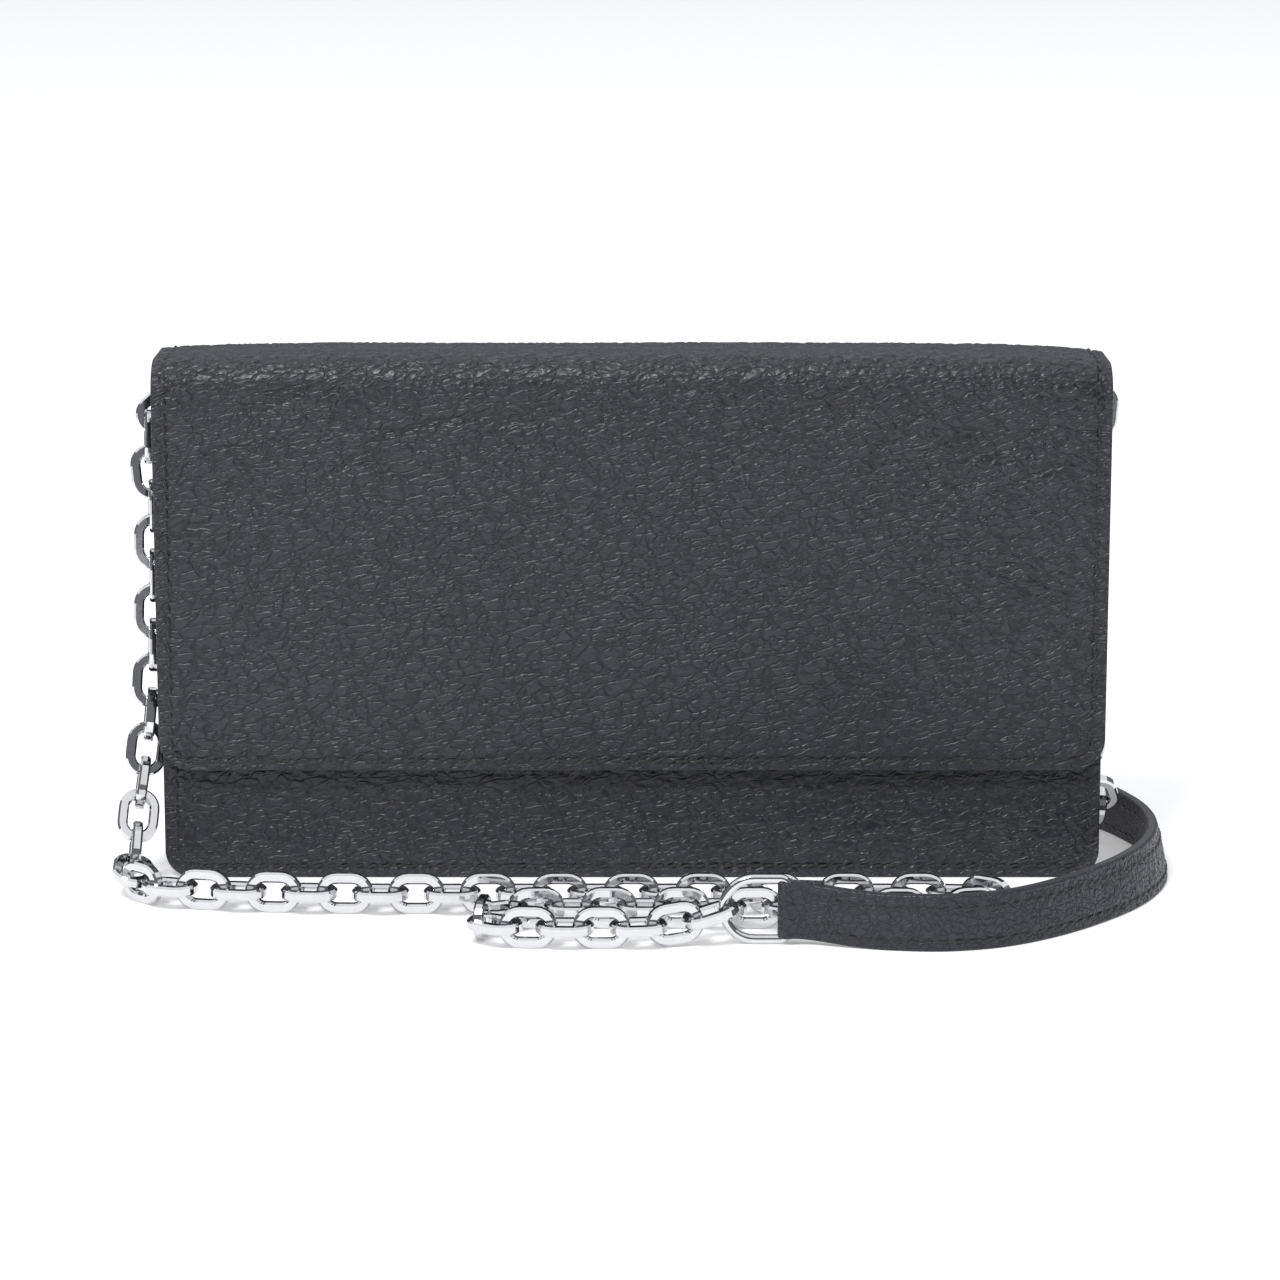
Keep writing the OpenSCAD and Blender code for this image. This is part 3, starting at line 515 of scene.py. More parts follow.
def shell(name, outer, inner, picks, mats, grain=None, relief=None):
    """Closed sheet between a fine outer grid and an inner grid that has only the picked columns."""
    rows, fine, few = outer.shape[0], outer.shape[1], inner.shape[1]
    points = np.concatenate([outer.reshape(-1, 3), inner.reshape(-1, 3)])
    o = np.arange(rows * fine).reshape(rows, fine)
    n = rows * fine + np.arange(rows * few).reshape(rows, few)
    faces = np.stack([o[:-1, :-1], o[:-1, 1:], o[1:, 1:], o[1:, :-1]], -1).reshape(-1, 4).tolist()
    kinds = [0] * len(faces)
    back = np.stack([n[:-1, :-1], n[1:, :-1], n[1:, 1:], n[:-1, 1:]], -1).reshape(-1, 4).tolist()
    faces += back
    kinds += [2] * len(back)
    for o_col, n_col, way in ((o[:, 0], n[:, 0], 1), (o[:, -1], n[:, -1], -1)):
        rim = np.stack([o_col[:-1], o_col[1:], n_col[1:], n_col[:-1]], -1)[:, ::way].tolist()
        faces += rim
        kinds += [1] * len(rim)
    for o_row, n_row, way in ((o[0], n[0], -1), (o[-1], n[-1], 1)):
        for k in range(few - 1):
            ring = o_row[picks[k]:picks[k + 1] + 1].tolist() + [int(n_row[k + 1]), int(n_row[k])]
            faces.append(ring[::way])
            kinds.append(1)
    obj = make_object(name, points, faces, mats, kinds, grain, relief=relief)
    mesh = bmesh.new()
    mesh.from_mesh(obj.data)
    bmesh.ops.recalc_face_normals(mesh, faces=mesh.faces)
    mesh.to_mesh(obj.data)
    mesh.free()
    return obj


def along_path(path, s):
    """Points of a plane path and the directions out of its face, at distances s along it."""
    total = reach(path)[-1]
    t = unit(resample(path, np.minimum(s + 0.15, total)) - resample(path, np.maximum(s - 0.15, 0)))
    return resample(path, s), np.stack([t[:, 1], -t[:, 0]], axis=1)


def put(axes, plane, across):
    """Three coordinates from two in the path's plane and one across it."""
    out = np.zeros(across.shape + (3,))
    for k, axis in enumerate(axes[:2]):
        out[..., "xyz".index(axis)] = plane[..., k]
    out[..., "xyz".index(axes[2])] = across
    return out


def sheet_of(name, path, width, thick, mats, axes="yzx", pitch=0.5, radii=(0, 0), face=None, under=None,
             bevel=0.4, flip=False, ends=(True, True), centre=0.0, shift=None, flare=None, coarse=14,
             start=0.0, marks=None):
    """A closed sheet whose outer face follows path and is width wide across it.

    axes names the axes of the path's two coordinates and of the width. face(u, c, edge) and
    under(u, c, edge) raise the two faces, radii round the corners at the path's two ends, and shift
    moves points as a function of their place. c is the distance along the path, counted from start.
    """
    path = np.array(path, float)
    length = reach(path)[-1]
    rows = border(length, bevel, pitch)
    if not ends[0]:
        rows = np.concatenate([[0], rows[rows >= bevel + 0.1]])
    if not ends[1]:
        rows = np.concatenate([rows[rows <= length - bevel - 0.1], [length]])
    steps = 1 - np.cos(np.radians(np.linspace(0, 90, 15)))
    rows = np.concatenate([rows, radii[0] * steps, length - radii[1] * steps])
    rows = np.unique(np.round(rows, 4))
    rows = rows[np.concatenate([[True], np.diff(rows) > 0.02])]
    rows[-1] = length
    columns = border(width, bevel, pitch) - width / 2
    many = len(columns)
    picks = list(range(5)) + list(range(5 + coarse, many - 5, coarse)) + list(range(many - 5, many))
    base, out = along_path(path, rows)
    if flip:
        out = -out
    half = np.full(len(rows), width / 2)
    if flare:
        half = half + flare(rows + start)
    full = half.copy()
    for r, d in ((radii[0], rows), (radii[1], length - rows)):
        if r > 0:
            near = np.clip(d, 0, r)
            half = np.minimum(half, full - r + np.sqrt(np.maximum(r * r - (r - near) ** 2, 0)))
    u = columns[None, :] * (half / (width / 2))[:, None]
    s = np.repeat(rows[:, None], many, axis=1)
    edge = full[:, None] - np.abs(u)
    for r, d, is_end in ((radii[0], s, ends[0]), (radii[1], length - s, ends[1])):
        if is_end:
            edge = np.minimum(edge, d)
        if r > 0:
            cx, cy = np.abs(u) - (full[:, None] - r), r - d
            edge = np.where((cx > 0) & (cy > 0), np.minimum(edge, r - np.hypot(cx, cy)), edge)
    edge = np.maximum(edge, 0)
    c = s + start
    fall = rounding(edge, bevel)
    top = -fall + (face(u, c, edge) if face else 0)
    low = -thick + fall + (under(u, c, edge) if under else 0)

    def place(height, across):
        return put(axes, base[:, None, :] + out[:, None, :] * height[..., None], across + centre)

    outer, inner = place(top, u), place(low[:, picks], u[:, picks])
    if shift is not None:
        outer, inner = outer + shift(outer), inner + shift(inner)
    grain = np.concatenate([np.stack([u, c, 0 * u], -1).reshape(-1, 3),
                            np.stack([u, c, 0 * u + 9], -1)[:, picks].reshape(-1, 3)])
    # marks(u, c, edge) gives crease and seam-groove depths that only darken the leather's colour, as painted
    # shade.
    dips = None
    if marks is not None:
        dips = np.concatenate([marks(u, c, edge).ravel(), np.zeros(inner.size // 3)])
    return shell(name, outer, inner, picks, mats, grain, dips)


def settle(obj, body, replaces=()):
    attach(obj, body)
    if replaces:
        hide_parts(*replaces)
    return obj


def slump(p):
    """The top sinks a little towards both ends, more on the right."""
    x, z = p[..., 0], p[..., 2]
    out = np.zeros(p.shape)
    drop = np.where(x > 0, 2.1, 1.3) * (np.abs(x) / 103.0) ** 7
    out[..., 2] = -drop * step_up(z, 55, 112)
    return out


def arc(centre, r, a0, a1, n=24):
    a = np.radians(np.linspace(a0, a1, n + 1))
    return np.stack([centre[0] + r * np.cos(a), centre[1] + r * np.sin(a)], axis=1)


ROOF_MIDDLE = 0.5
F_C, F_R = FRONT_FOLD[:2], FRONT_FOLD[2]
B_C, B_R = BACK_FOLD[:2], BACK_FOLD[2]
PATH_FLAP = np.concatenate([[[ROOF_MIDDLE, WALLET_H]], arc(F_C, F_R, 90, 180), [[-14.0, FLAP_EDGE_Z]]])
PATH_BACK = np.concatenate([[[14.0, 0]], arc(B_C, B_R, 0, 90), [[ROOF_MIDDLE, WALLET_H]]])
LEN_FLAP, LEN_BACK = reach(PATH_FLAP)[-1], reach(PATH_BACK)[-1]
SEAM_IN = 2.7


def pebbles(a, b, seed, crease=0.34):
    """0 in the creases between pebbles, rising to 1 on their crowns."""
    first, second = cells(a, b, seed)
    return step_up(second - first, 0.0, crease)


def creases(x, c, fold_at=14.0, seed=3):
    """Depth of the creases of the grained outer leather, in mm: x across, c along from the roof's middle."""
    wx = x + 2.4 * noise(x / 9, c / 7, seed + 20) + 0.7 * noise(x / 2.7, c / 2.7, seed + 24)
    wc = c + 1.8 * noise(x / 10, c / 8, seed + 21) + 0.6 * noise(x / 2.9, c / 2.3, seed + 25)
    lean = 0.3 + 0.16 * noise(x / 60, c / 40, seed + 22)
    a, b = wx * np.cos(lean) - wc * np.sin(lean), wx * np.sin(lean) + wc * np.cos(lean)
    right = step_up(x, -40, 70)
    fold = np.exp(-(((np.abs(c) - fold_at) / 11.0) ** 2)) if fold_at else 0 * c
    large = pebbles(a / 7.5, b / 2.6, seed, 0.28)
    medium = pebbles(a / 2.7, b / 1.9, seed + 3)
    small = pebbles(wx / 1.9, wc / 2.1, seed + 5)
    patchy = 0.55 + 0.45 * noise(x / 17, c / 12, seed + 26)
    depth = 0.38 * (1 - large) * (0.45 + 0.55 * right) * patchy * (1 - 0.6 * fold)
    depth += 0.13 * (1 - medium) * (1 - 0.4 * right) * (1 - 0.5 * fold)
    depth += 0.26 * (1 - small) * fold
    # Long wrinkles run up towards both upper corners and under the fold
    long_run = noise(a / 26, b / 3.4, seed + 30)
    corner = step_up(np.abs(x), 25, 95) * np.exp(-(((c - 30) / 26.0) ** 2))
    under = np.exp(-(((c - 24) / 8.0) ** 2))
    wrinkle = 1 - step_up(np.abs(long_run), 0.0, 0.16)
    return depth + 0.45 * wrinkle * np.clip(0.8 * corner + 0.7 * under + 0.15, 0, 1)


def calmed(depth, edge):
    """Creases fade at the painted edge and are pressed flat along the seam."""
    groove = np.exp(-(((edge - SEAM_IN) / 0.42) ** 2))
    return depth * step_up(edge, 0.2, 1.8) * (1 - 0.5 * groove) + 0.26 * groove


def hide(x, c, edge):
    """Relief of the grained outer leather: its creases and the soft swell of the whole sheet."""
    swell = 0.22 * noise(x / 38, c / 26, 34) + 0.08 * noise(x / 13, c / 10, 35)
    return swell * step_up(edge, 0.2, 1.8) - hide_marks(x, c, edge)


# The outer leather's crease and seam-groove depths, used as marks: they darken its colour as painted shade.
def hide_marks(x, c, edge):
    return calmed(creases(x, c), edge)


def flap_face(x, c, edge):
    crown = 0.5 * (1 - (x / 103) ** 2) * step_up(c, 16, 45) * step_up(LEN_FLAP - c, 0, 25)
    return hide(x, c, edge) + crown


def pinch(x, c, edge):
    """Lining drawn on to the leather along the sewn border."""
    return -0.55 * (1 - step_up(edge, 0.5, 3.2))


def lining_face(x, c, edge):
    return pinch(x, c, edge) + (0.10 * noise(x / 22, c / 15, 55) + 0.05 * noise(x / 7, c / 6, 56))


OUTER_SET = [OUTER, EDGE, LINING]
LINING_SET = [LINING, EDGE, LINING]

skin_front = sheet_of("outer_leather_top_and_flap", PATH_FLAP, FLAP_W, LEATHER_T, OUTER_SET, pitch=0.56,
                      radii=(0, 7), face=flap_face, ends=(False, True), shift=slump, marks=hide_marks)
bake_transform(skin_front)
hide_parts("top_leather", "flap_leather")

skin_back = sheet_of("outer_leather_back", PATH_BACK, FLAP_W, LEATHER_T, OUTER_SET, pitch=0.56, radii=(6, 0),
                     face=hide, ends=(True, False), shift=slump, start=-LEN_BACK, marks=hide_marks,
                     flare=lambda c: -0.5 * (1 - step_up(c, -60, -12)))
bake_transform(skin_back)
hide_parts("back_leather")

# Linings: the visible face looks into the wallet
IN_Y, IN_Z = -11.4, 114.0
PATH_FLAP_IN = np.concatenate([[[IN_Y, FLAP_EDGE_Z]], [[IN_Y, 104.5], [-11.75, 107.0]],
                               arc(F_C, F_R - 2.0, 172, 90), [[ROOF_MIDDLE, IN_Z]]])
PATH_BACK_IN = np.concatenate([[[ROOF_MIDDLE, IN_Z]], arc(B_C, B_R - 2.0, 90, 8),
                               [[11.5, 106.0], [11.4, 103.0], [11.4, 0]]])
lining_front = sheet_of("lining_top_and_flap", PATH_FLAP_IN, FLAP_W - 0.4, LINING_T, LINING_SET, pitch=1.2,
                        radii=(6.8, 0), face=lining_face, under=pinch, ends=(True, False), shift=slump,
                        coarse=6)
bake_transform(lining_front)
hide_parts("top_lining", "flap_lining")
lining_back = sheet_of("lining_back", PATH_BACK_IN, FLAP_W - 0.4, LINING_T, LINING_SET, pitch=1.2,
                       radii=(0, 5.8), face=lining_face, under=pinch, ends=(False, True), shift=slump,
                       flare=lambda c: -0.5 * step_up(c, 12, 60), coarse=6)
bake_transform(lining_back)
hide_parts("back_lining")


def front_creases(x, c, edge):
    """The front panel has coarser grain, deepest just under the flap's edge."""
    z = PANEL_TOP - c
    coarse_mask = np.exp(-(((z - 20) / 7.0) ** 2))
    wx = x + 2.0 * noise(x / 8, c / 6, 81)
    wc = c + 1.6 * noise(x / 9, c / 7, 82)
    deep = 1 - pebbles(wx / 6.0, wc / 3.2, 84, 0.26)
    depth = creases(x, c, 0, 43) + 0.34 * deep * (0.35 + 0.65 * coarse_mask) * step_up(edge, 3.2, 5)
    return calmed(depth, edge)


def front_face(x, c, edge):
    return 0.2 * noise(x / 30, c / 20, 74) * step_up(edge, 0.2, 1.8) - front_creases(x, c, edge)


PANEL_LINING_Y = -8.0
# The front panel's creases, as marks, darken its colour as painted shade.
front_skin = sheet_of("front_panel_leather", [[PANEL_Y, PANEL_TOP], [PANEL_Y, 0]], WALLET_W, LEATHER_T,
                      OUTER_SET, pitch=0.52, radii=(3, 6), face=front_face, marks=front_creases)
settle(front_skin, "front", ["front_leather"])
front_inside = sheet_of("front_panel_lining", [[PANEL_LINING_Y, 0], [PANEL_LINING_Y, PANEL_TOP]],
                        WALLET_W - 0.4, LINING_T, LINING_SET, pitch=1.2, radii=(5.8, 2.8),
                        face=lining_face, under=pinch, coarse=6)
settle(front_inside, "front", ["front_lining"])

# ---- Strap ----
STRAP_CURVE = smooth(STRAP, 12)
STRAP_TOTAL = reach(STRAP_CURVE)[-1]


def strap_turn(s):
    """How sharply the strap bends at distance s along it, in turns per mm."""
    a = resample(STRAP_CURVE, np.clip(s - 8, 0, STRAP_TOTAL))
    b = resample(STRAP_CURVE, s)
    c = resample(STRAP_CURVE, np.clip(s + 8, 0, STRAP_TOTAL))
    t0, t1 = unit(b - a + 1e-6), unit(c - b + 1e-6)
    return np.abs(t0[:, 0] * t1[:, 1] - t0[:, 1] * t1[:, 0]) / 8


def strap_face(u, c, edge):
    bend = strap_turn(c[:, 0])[:, None] * 60
    first = pebbles((c + noise(c / 3, u / 3, 61)) / 2.6, (u + noise(c / 4, u / 3, 62)) / 3.2, 60, 0.3)
    fine = pebbles(c / 1.4, u / 1.7, 64, 0.4)
    wrinkle = 1 - step_up(np.abs(noise(c / 1.9, u / 9, 66)), 0, 0.3)
    calm = step_up(edge, 0.2, 1.2)
    groove = np.exp(-(((edge - 2.4) / 0.4) ** 2))
    rise = -0.12 * (1 - first) - 0.05 * (1 - fine) - 0.16 * wrinkle * np.clip(bend, 0, 1)
    return rise * calm * (1 - 0.5 * groove) - 0.12 * groove + 0.15 * step_up(edge, 0.4, 4)


def strap_shift(p):
    """The strap lifts to its D-rings at both ends and leans inward round the right side."""
    x, y, z = p[..., 0], p[..., 1], p[..., 2]
    out = np.zeros(p.shape)
    lift = np.where(y < 0, 1 - step_up(x, 30, 52), 1 - step_up(x, -40, -10))
    out[..., 2] = 1.4 * lift
    lean = step_up(x, 70, 112) * (z / STRAP_W)
    out[..., 0] = -2.6 * lean
    out[..., 1] = -1.2 * step_up(y, 10, 50) * (z / STRAP_W) * (1 - lift)
    return out


_, strap_out = along_path(STRAP_CURVE, reach(STRAP_CURVE))
strap_route = STRAP_CURVE + strap_out * STRAP_T / 2
# The strap's marks darken its colour along the stitch grooves as painted shade.
strap = sheet_of("strap_band", strap_route, STRAP_W, STRAP_T, [STRAP_OUT, STRAP_EDGE, STRAP_IN], axes="xyz",
                 pitch=0.4, face=strap_face, centre=STRAP_W / 2, bevel=0.55, shift=strap_shift, coarse=1,
                 marks=lambda u, c, edge: 0.25 * np.exp(-(((edge - 2.3) / 0.4) ** 2)))
settle(strap, "case", ["strap_outer", "strap_lining"])
LOOP_R = 2.05


def strap_loop(name, at):
    """Turned end of the strap round a D-ring's bar."""
    pts = np.concatenate([[[7.6, 1.1], [5.8, 1.3], [3.6, 1.55]], arc((0, 0), LOOP_R, 58, 302, 30),
                          [[3.6, -1.55], [5.8, -1.3], [7.6, -1.1]]])
    path = pts + at

    def face(u, c, edge):
        return -0.08 * (1 - pebbles(c / 2.2, u / 2.6, 71)) * step_up(edge, 0.2, 1.2)

    return settle(sheet_of(name, path, STRAP_W, 0.95, [STRAP_OUT, STRAP_EDGE, STRAP_IN], axes="xyz", pitch=0.4,
                           centre=STRAP_W / 2 + 1.4, bevel=0.4, coarse=1, face=face),
                  "case", [])


for end, at in RING_SPOTS:
    loop = strap_loop("strap_end_" + end, np.array(at))
    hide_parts("strap_loop_" + end)


# ---- Stitches ----
def stitch_row(name, places, ups, pitch, size, thickness, mats, slant=0.18):
    """Thread along a row of points: each stitch rises out of one hole and dips into the next."""
    along = reach(places)
    count = int(along[-1] / pitch)
    points, faces = [], []
    sides, rings = 7, 7
    for k in range(count):
        mid = (along[-1] - count * pitch) / 2 + (k + 0.5) * pitch
        where = mid + np.linspace(-size / 2, size / 2, rings)
        p = resample(places, where)
        up = unit(np.stack([np.interp(where, along, ups[:, j]) for j in range(3)], axis=1))
        t = unit(p[-1] - p[0])
        side = np.cross(up[rings // 2], t)
        phase = np.linspace(-1, 1, rings)
        lift = thickness * (1.05 * (1 - np.abs(phase) ** 2.6) - 0.55)
        swell = thickness * np.sqrt(np.clip(1.02 - np.abs(phase) ** 4, 0.03, 1))
        base = len(points)
        for i in range(rings):
            centre = p[i] + up[i] * lift[i] + side * slant * size * 0.5 * phase[i]
            for a in np.linspace(0, 2 * math.pi, sides, endpoint=False):
                points.append(centre + swell[i] * (math.cos(a) * side + 0.8 * math.sin(a) * up[i]))
        for i in range(rings - 1):
            for j in range(sides):
                q = (j + 1) % sides
                faces.append([base + i * sides + j, base + i * sides + q, base + (i + 1) * sides + q,
                              base + (i + 1) * sides + j])
        faces.append([base + j for j in range(sides)][::-1])
        faces.append([base + (rings - 1) * sides + j for j in range(sides)])
    return make_object(name, points, faces, mats)


def seam(path, axes, across, along, lift=0.0, shift=None):
    """Places and upward directions on a sheet for a seam given by (across, along) positions."""
    across, along = np.array(across, float), np.array(along, float)
    plane, out = along_path(np.array(path, float), along)
    places = put(axes, plane + out * lift, across)
    ups = put(axes, out, across * 0)
    if shift is not None:
        places = places + shift(places)
    return places, ups


def u_seam(half, inset_side, inset_end, radius, start, end, r_steps=10):
    """A seam down one side, round two corners and up the other, as (across, along) positions."""
    x, low = half - inset_side, end - inset_end
    r = max(radius - inset_side, 1.0)
    turn = np.radians(np.linspace(0, 90, r_steps))
    one = np.stack([x - r + r * np.cos(turn), low - r + r * np.sin(turn)], axis=1)
    side = np.array([[x, start]])
    right = np.concatenate([side, one])
    left = right[::-1] * [-1, 1]
    return fill(np.concatenate([right, left]), 0.5)


def fill(line, pitch):
    line = np.array(line, float)
    total = reach(line)[-1]
    return resample(line, np.linspace(0, total, int(total / pitch) + 2))


BODY_STITCH = (3.0, 2.35, 0.3, [THREAD])
SUNK = -0.1
row = u_seam(FLAP_W / 2, SEAM_IN, 2.2, 7, 0.2, LEN_FLAP)
flap_stitches = stitch_row("stitches_flap", *seam(PATH_FLAP, "yzx", row[:, 0], row[:, 1], SUNK, slump),
                           *BODY_STITCH)
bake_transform(flap_stitches)
row = u_seam(WALLET_W / 2, SEAM_IN, 2.7, 6, 0.2, LEN_BACK)
row[:, 1] = LEN_BACK - row[:, 1]
back_stitches = stitch_row("stitches_back", *seam(PATH_BACK, "yzx", row[:, 0], row[:, 1], SUNK, slump),
                           *BODY_STITCH)
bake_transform(back_stitches)
row = u_seam(WALLET_W / 2, SEAM_IN, 2.7, 6, 2.7, PANEL_TOP)
front_stitches = stitch_row("stitches_front", *seam([[PANEL_Y, PANEL_TOP], [PANEL_Y, 0]], "yzx", row[:, 0],
                                                     row[:, 1], SUNK), *BODY_STITCH)
settle(front_stitches, "front", [])

# Strap: two rows along both faces and a cross row that closes the fold at the front
strap_rows, strap_ups = [], []
for face_lift, way in ((-0.1, 1), (0.1 - STRAP_T, -1)):
    for level in (2.1, 9.1):
        along = np.arange(7.4, STRAP_TOTAL - 5, 0.5)
        places, ups = seam(strap_route, "xyz", along * 0 + level, along, face_lift, strap_shift)
        strap_rows.append(places)
        strap_ups.append(ups * way)
    level = np.arange(2.1, 9.2, 0.5)
    places, ups = seam(strap_route, "xyz", level, level * 0 + 7.2, face_lift, strap_shift)
    strap_rows.append(places)
    strap_ups.append(ups * way)
for k, (places, ups) in enumerate(zip(strap_rows, strap_ups)):
    row = stitch_row("stitches_strap_%d" % (k + 1), places, ups, 3.2, 2.5, 0.3, [THREAD])
    settle(row, "case", [])

# ---- Inside the case ----
LOW_Y, HIGH_Y, MIDDLE_Y = -7.95, 11.35, 0.375


def edges_of(node_name):
    return [np.array(v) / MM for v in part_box(node_name)]


def upright(name, node_name, body, facing, radii=(1.5, 1.5), face=None, mats=LINING_SET, grow=0.0):
    """A standing sheet that takes the place of a CAD slab; facing is the side in Y that shows."""
    lo, hi = edges_of(node_name)
    y = lo[1] if facing < 0 else hi[1]
    low, high = [y, lo[2]], [y, hi[2] + grow]
    path, turns = ([high, low], radii) if facing < 0 else ([low, high], radii[::-1])
    obj = sheet_of(name, path, hi[0] - lo[0], hi[1] - lo[1], mats, pitch=1.1, radii=turns, face=face,
                   bevel=min(0.35, (hi[1] - lo[1]) / 2.2), coarse=5, centre=(lo[0] + hi[0]) / 2)
    return settle(obj, body, [node_name])


def slip_face(height):
    """A card slip: a pressed line under its mouth, soft swells where cards have been, and a middle seam."""
    def face(u, c, edge):
        line = np.exp(-(((c - 2.4) / 0.35) ** 2))
        middle = np.exp(-((u / 0.7) ** 2))
        card = step_up(np.abs(u), 3, 9) * step_up(91 - np.abs(u), 2, 8) * step_up(height - c, 0, 6)
        return 0.16 * card * (0.7 + 0.3 * noise(u / 20, c / 9, 90)) - 0.14 * line - 0.22 * middle - 0.12
    return face


for number in (1, 2, 3, 4):
    lo, hi = edges_of("card_slip_%d" % number)
    z1 = hi[2]
    z0 = lo[2] if number == 4 else z1 - 16
    slip = sheet_of("slip_%d" % number, [[lo[1], z1], [lo[1], z0]], hi[0] - lo[0], 0.78, LINING_SET,
                    pitch=0.9, radii=(2.5, 0.5), face=slip_face(z1 - z0), bevel=0.3, coarse=5)
    settle(slip, "case", ["card_slip_%d" % number])
    lines = []
    for x in (-hi[0] + 2, 0.0, hi[0] - 2):
        down = np.arange(1.5, (z1 - z0 if number == 4 else 12.0), 0.5)
        lines.append(seam([[lo[1], z1], [lo[1], z0]], "yzx", down * 0 + x, down, -0.22))
    for k, (places, ups) in enumerate(lines):
        settle(stitch_row("stitches_slip_%d_%d" % (number, k + 1), places, ups, 2.8, 2.1, 0.22, [THREAD]),
               "case", [])

upright("slip_pocket_front", "front_slip", "front", 1, (2, 5),
        lambda u, c, edge: 0.05 * noise(u / 25, c / 18, 91) - 0.05)


def pocket_face(u, c, edge):
    groove = np.exp(-(((edge - 2) / 0.4) ** 2))
    return 0.12 * noise(u / 24, c / 15, 92) + 0.05 * noise(u / 8, c / 7, 93) - 0.2 * groove - 0.1


upright("pocket_wall_front", "pocket_front_wall", "zip_pocket", -1, (1, 3), pocket_face)
upright("pocket_wall_back", "pocket_back_wall", "zip_pocket", 1, (1, 3), pocket_face)
lo, hi = edges_of("pocket_gusset")
u_path = np.concatenate([[[lo[0], hi[2]]], arc((lo[0] + 3, lo[2] + 3), 3, 180, 270),
                         arc((hi[0] - 3, lo[2] + 3), 3, 270, 360), [[hi[0], hi[2]]]])
settle(sheet_of("pocket_side_strip", u_path, hi[1] - lo[1], 0.8, LINING_SET, axes="xzy", pitch=0.8, bevel=0.3,
                face=lambda u, c, edge: -0.25 * (1 - (np.abs(u) / 3.0) ** 2) + 0.06 * noise(c / 9, u / 4, 94),
                coarse=2, centre=(lo[1] + hi[1]) / 2), "zip_pocket", ["pocket_gusset"])
for side in ("front", "back"):
    lo, hi = edges_of("zip_tape_" + side)
    settle(sheet_of("tape_" + side, [[lo[1], hi[2]], [hi[1], hi[2]]], hi[0] - lo[0], hi[2] - lo[2],
                    [TAPE] * 3, pitch=0.5, bevel=0.15, flip=True, coarse=6, centre=(lo[0] + hi[0]) / 2),
           "zip_pocket", ["zip_tape_" + side])

BASE_PATH = [[LOW_Y, 0], [LOW_Y, 3.9], [LOW_Y + 0.15, 4.25], [LOW_Y + 0.5, 4.4], [HIGH_Y - 0.5, 4.4],
             [HIGH_Y - 0.15, 4.25], [HIGH_Y, 3.9], [HIGH_Y, 0]]
settle(sheet_of("base_leather", BASE_PATH, 195.6, 0.9, [LINING, EDGE, OUTER], pitch=0.8, flip=True, bevel=0.3,
                coarse=5), "case", ["base_strip"])


def gusset_sheet(side):
    """The V-folded gusset: two sewn flanges and a soft inward fold, with creases at its foot."""
    count = 64
    heights = np.linspace(4.5, 97, 120)
    outer = np.zeros((len(heights), count, 3))
    for i, z in enumerate(heights):
        tip = 98 - 1.5 - 15 * (z - 3.5) / 93.5
        line = np.array([[101, LOW_Y], [98, LOW_Y], [tip, MIDDLE_Y], [98, HIGH_Y], [101, HIGH_Y]])
        dense = resample(line, np.linspace(0, reach(line)[-1], count))
        for _ in range(5):
            dense[1:-1] = (dense[:-2] + 2 * dense[1:-1] + dense[2:]) / 4
        dense[:, 1] = np.clip(dense[:, 1], LOW_Y, HIGH_Y)
        outer[i, :, 0], outer[i, :, 1], outer[i, :, 2] = dense[:, 0], dense[:, 1], z
    step = np.gradient(outer, axis=1)
    normal = unit(np.stack([step[..., 1], -step[..., 0], 0 * step[..., 0]], axis=-1))
    k = np.linspace(0, 1, count)[None, :]
    z = heights[:, None]
    free = step_up(np.minimum(k, 1 - k), 0.12, 0.3)
    wave = 0.35 * noise(k * 9, z / 11, 95) + 0.25 * noise(k * 20, z / 4, 96) * step_up(40 - z, 0, 30)
    outer = outer + normal * (free * wave)[..., None]
    inner = outer + normal * 0.9
    grain = np.concatenate([np.stack([k * 30 + 0 * z, z + 0 * k, 0 * z * k], -1).reshape(-1, 3)] * 2)
    for skin in (outer, inner):
        skin[..., 0] *= side
    name = "gusset_fold_" + ("right" if side > 0 else "left")
    obj = shell(name, outer, inner, list(range(count)), [LINING, EDGE, OUTER], grain)
    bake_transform(obj)
    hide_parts("gusset_right" if side > 0 else "gusset_left")


gusset_sheet(1)
gusset_sheet(-1)
for side, word in ((1, "right"), (-1, "left")):
    line = np.concatenate([[[62, 9.35], [74.7, 9.35], [75.1, 8.7]], arc((77, 7.5), 1.9, 155, 395, 36),
                           [[77.7, 10.2], [76.4, 11.3]]]) * [side, 1]
    settle(sheet_of("ring_loop_" + word, line, 9, 0.85, LINING_SET, axes="xyz", pitch=0.5, bevel=0.3,
                    flip=side < 0, coarse=2, centre=104.0,
                    face=lambda u, c, edge: -0.15 * np.exp(-(((edge - 1.4) / 0.35) ** 2))),
           "case", ["ring_tab_" + word])


# Metal and board that keep their CAD shapes
def pairs(*names):
    return [name + side for name in names for side in ("_left", "_right")]


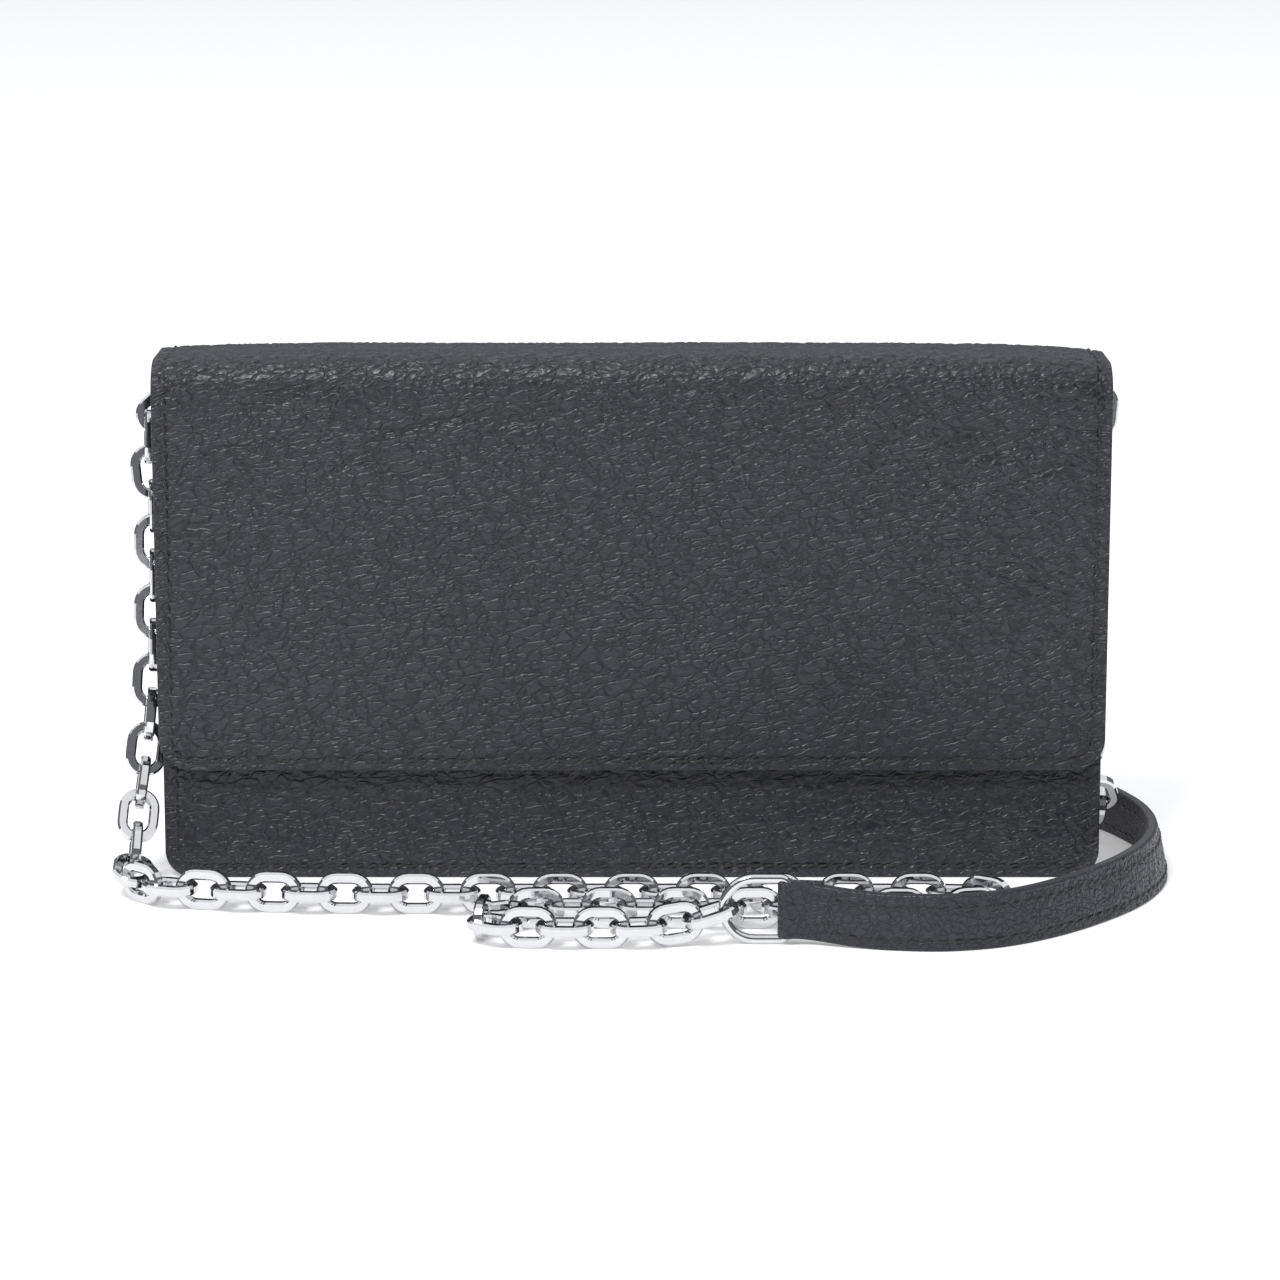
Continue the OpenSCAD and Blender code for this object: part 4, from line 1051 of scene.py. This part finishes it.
for names, mat in (
        (pairs("inner_ring", "clasp_body", "clasp_eye", "clasp_gate")
         + ["snap_socket", "snap_stud", "zip_teeth_front", "zip_teeth_back", "zip_stops", "zip_slider",
            "zip_pull"], FITTING),
        (pairs("clasp_pin", "clasp_spring") + ["snap_cap", "snap_rivet"], STEEL),
        (["back_board", "flap_board", "front_board"], BOARD)):
    for node_name in names:
        shown = bpy.data.objects[node_name]
        if not shown.material_slots:
            shown.data.materials.append(mat)
        for place in shown.material_slots:
            place.material = mat


# ---- Floor, light and camera ----
floor_mat, _, floor_shader = material("studio_floor")
floor_shader.inputs["Base Color"].default_value = (0.95, 0.95, 0.955, 1)
floor_shader.inputs["Roughness"].default_value = 0.75
floor_shader.inputs["Emission Color"].default_value = (1, 1, 1, 1)
floor_shader.inputs["Emission Strength"].default_value = 0.24
floor = make_object("studio_floor", [[-9000, -9000, 0], [9000, -9000, 0], [9000, 9000, 0], [-9000, 9000, 0]],
                    [[0, 1, 2, 3]], [floor_mat])

world = bpy.data.worlds.new("studio_light")
world.use_nodes = True
world.node_tree.nodes["Background"].inputs["Color"].default_value = (0.9, 0.94, 1.0, 1)
world.node_tree.nodes["Background"].inputs["Strength"].default_value = 0.22
bpy.context.scene.world = world


def area_light(name, place, aim, size, power):
    lamp = bpy.data.lights.new(name, "AREA")
    lamp.shape, lamp.size, lamp.energy = "SQUARE", size * MM, power
    obj = bpy.data.objects.new(name, lamp)
    obj.location = Vector(place) * MM
    obj.rotation_euler = (Vector(aim) * MM - obj.location).to_track_quat("-Z", "Y").to_euler()
    bpy.context.scene.collection.objects.link(obj)
    return obj


area_light("ceiling", (0, 900, 2800), (0, 900.1, 0), 7500, 160)
area_light("softbox_front", (-350, -800, 1100), (0, 0, 60), 380, 12)

CAMERA_ELEVATION = 12.0
CAMERA_AIM = Vector((1.74, -11.1, 53.5)) * MM
CAMERA_DISTANCE = 928 * MM
camera = bpy.data.objects.new("camera", bpy.data.cameras.new("camera"))
tilt = math.radians(CAMERA_ELEVATION)
camera.location = CAMERA_AIM + CAMERA_DISTANCE * Vector((0, -math.cos(tilt), math.sin(tilt)))
camera.rotation_euler = (math.radians(90) - tilt, 0, 0)
camera.data.lens, camera.data.sensor_width = 120.2, 36
camera.data.clip_start, camera.data.clip_end = 0.05, 60
bpy.context.scene.collection.objects.link(camera)
bpy.context.scene.camera = camera
bpy.context.scene.view_settings.view_transform = "Standard"
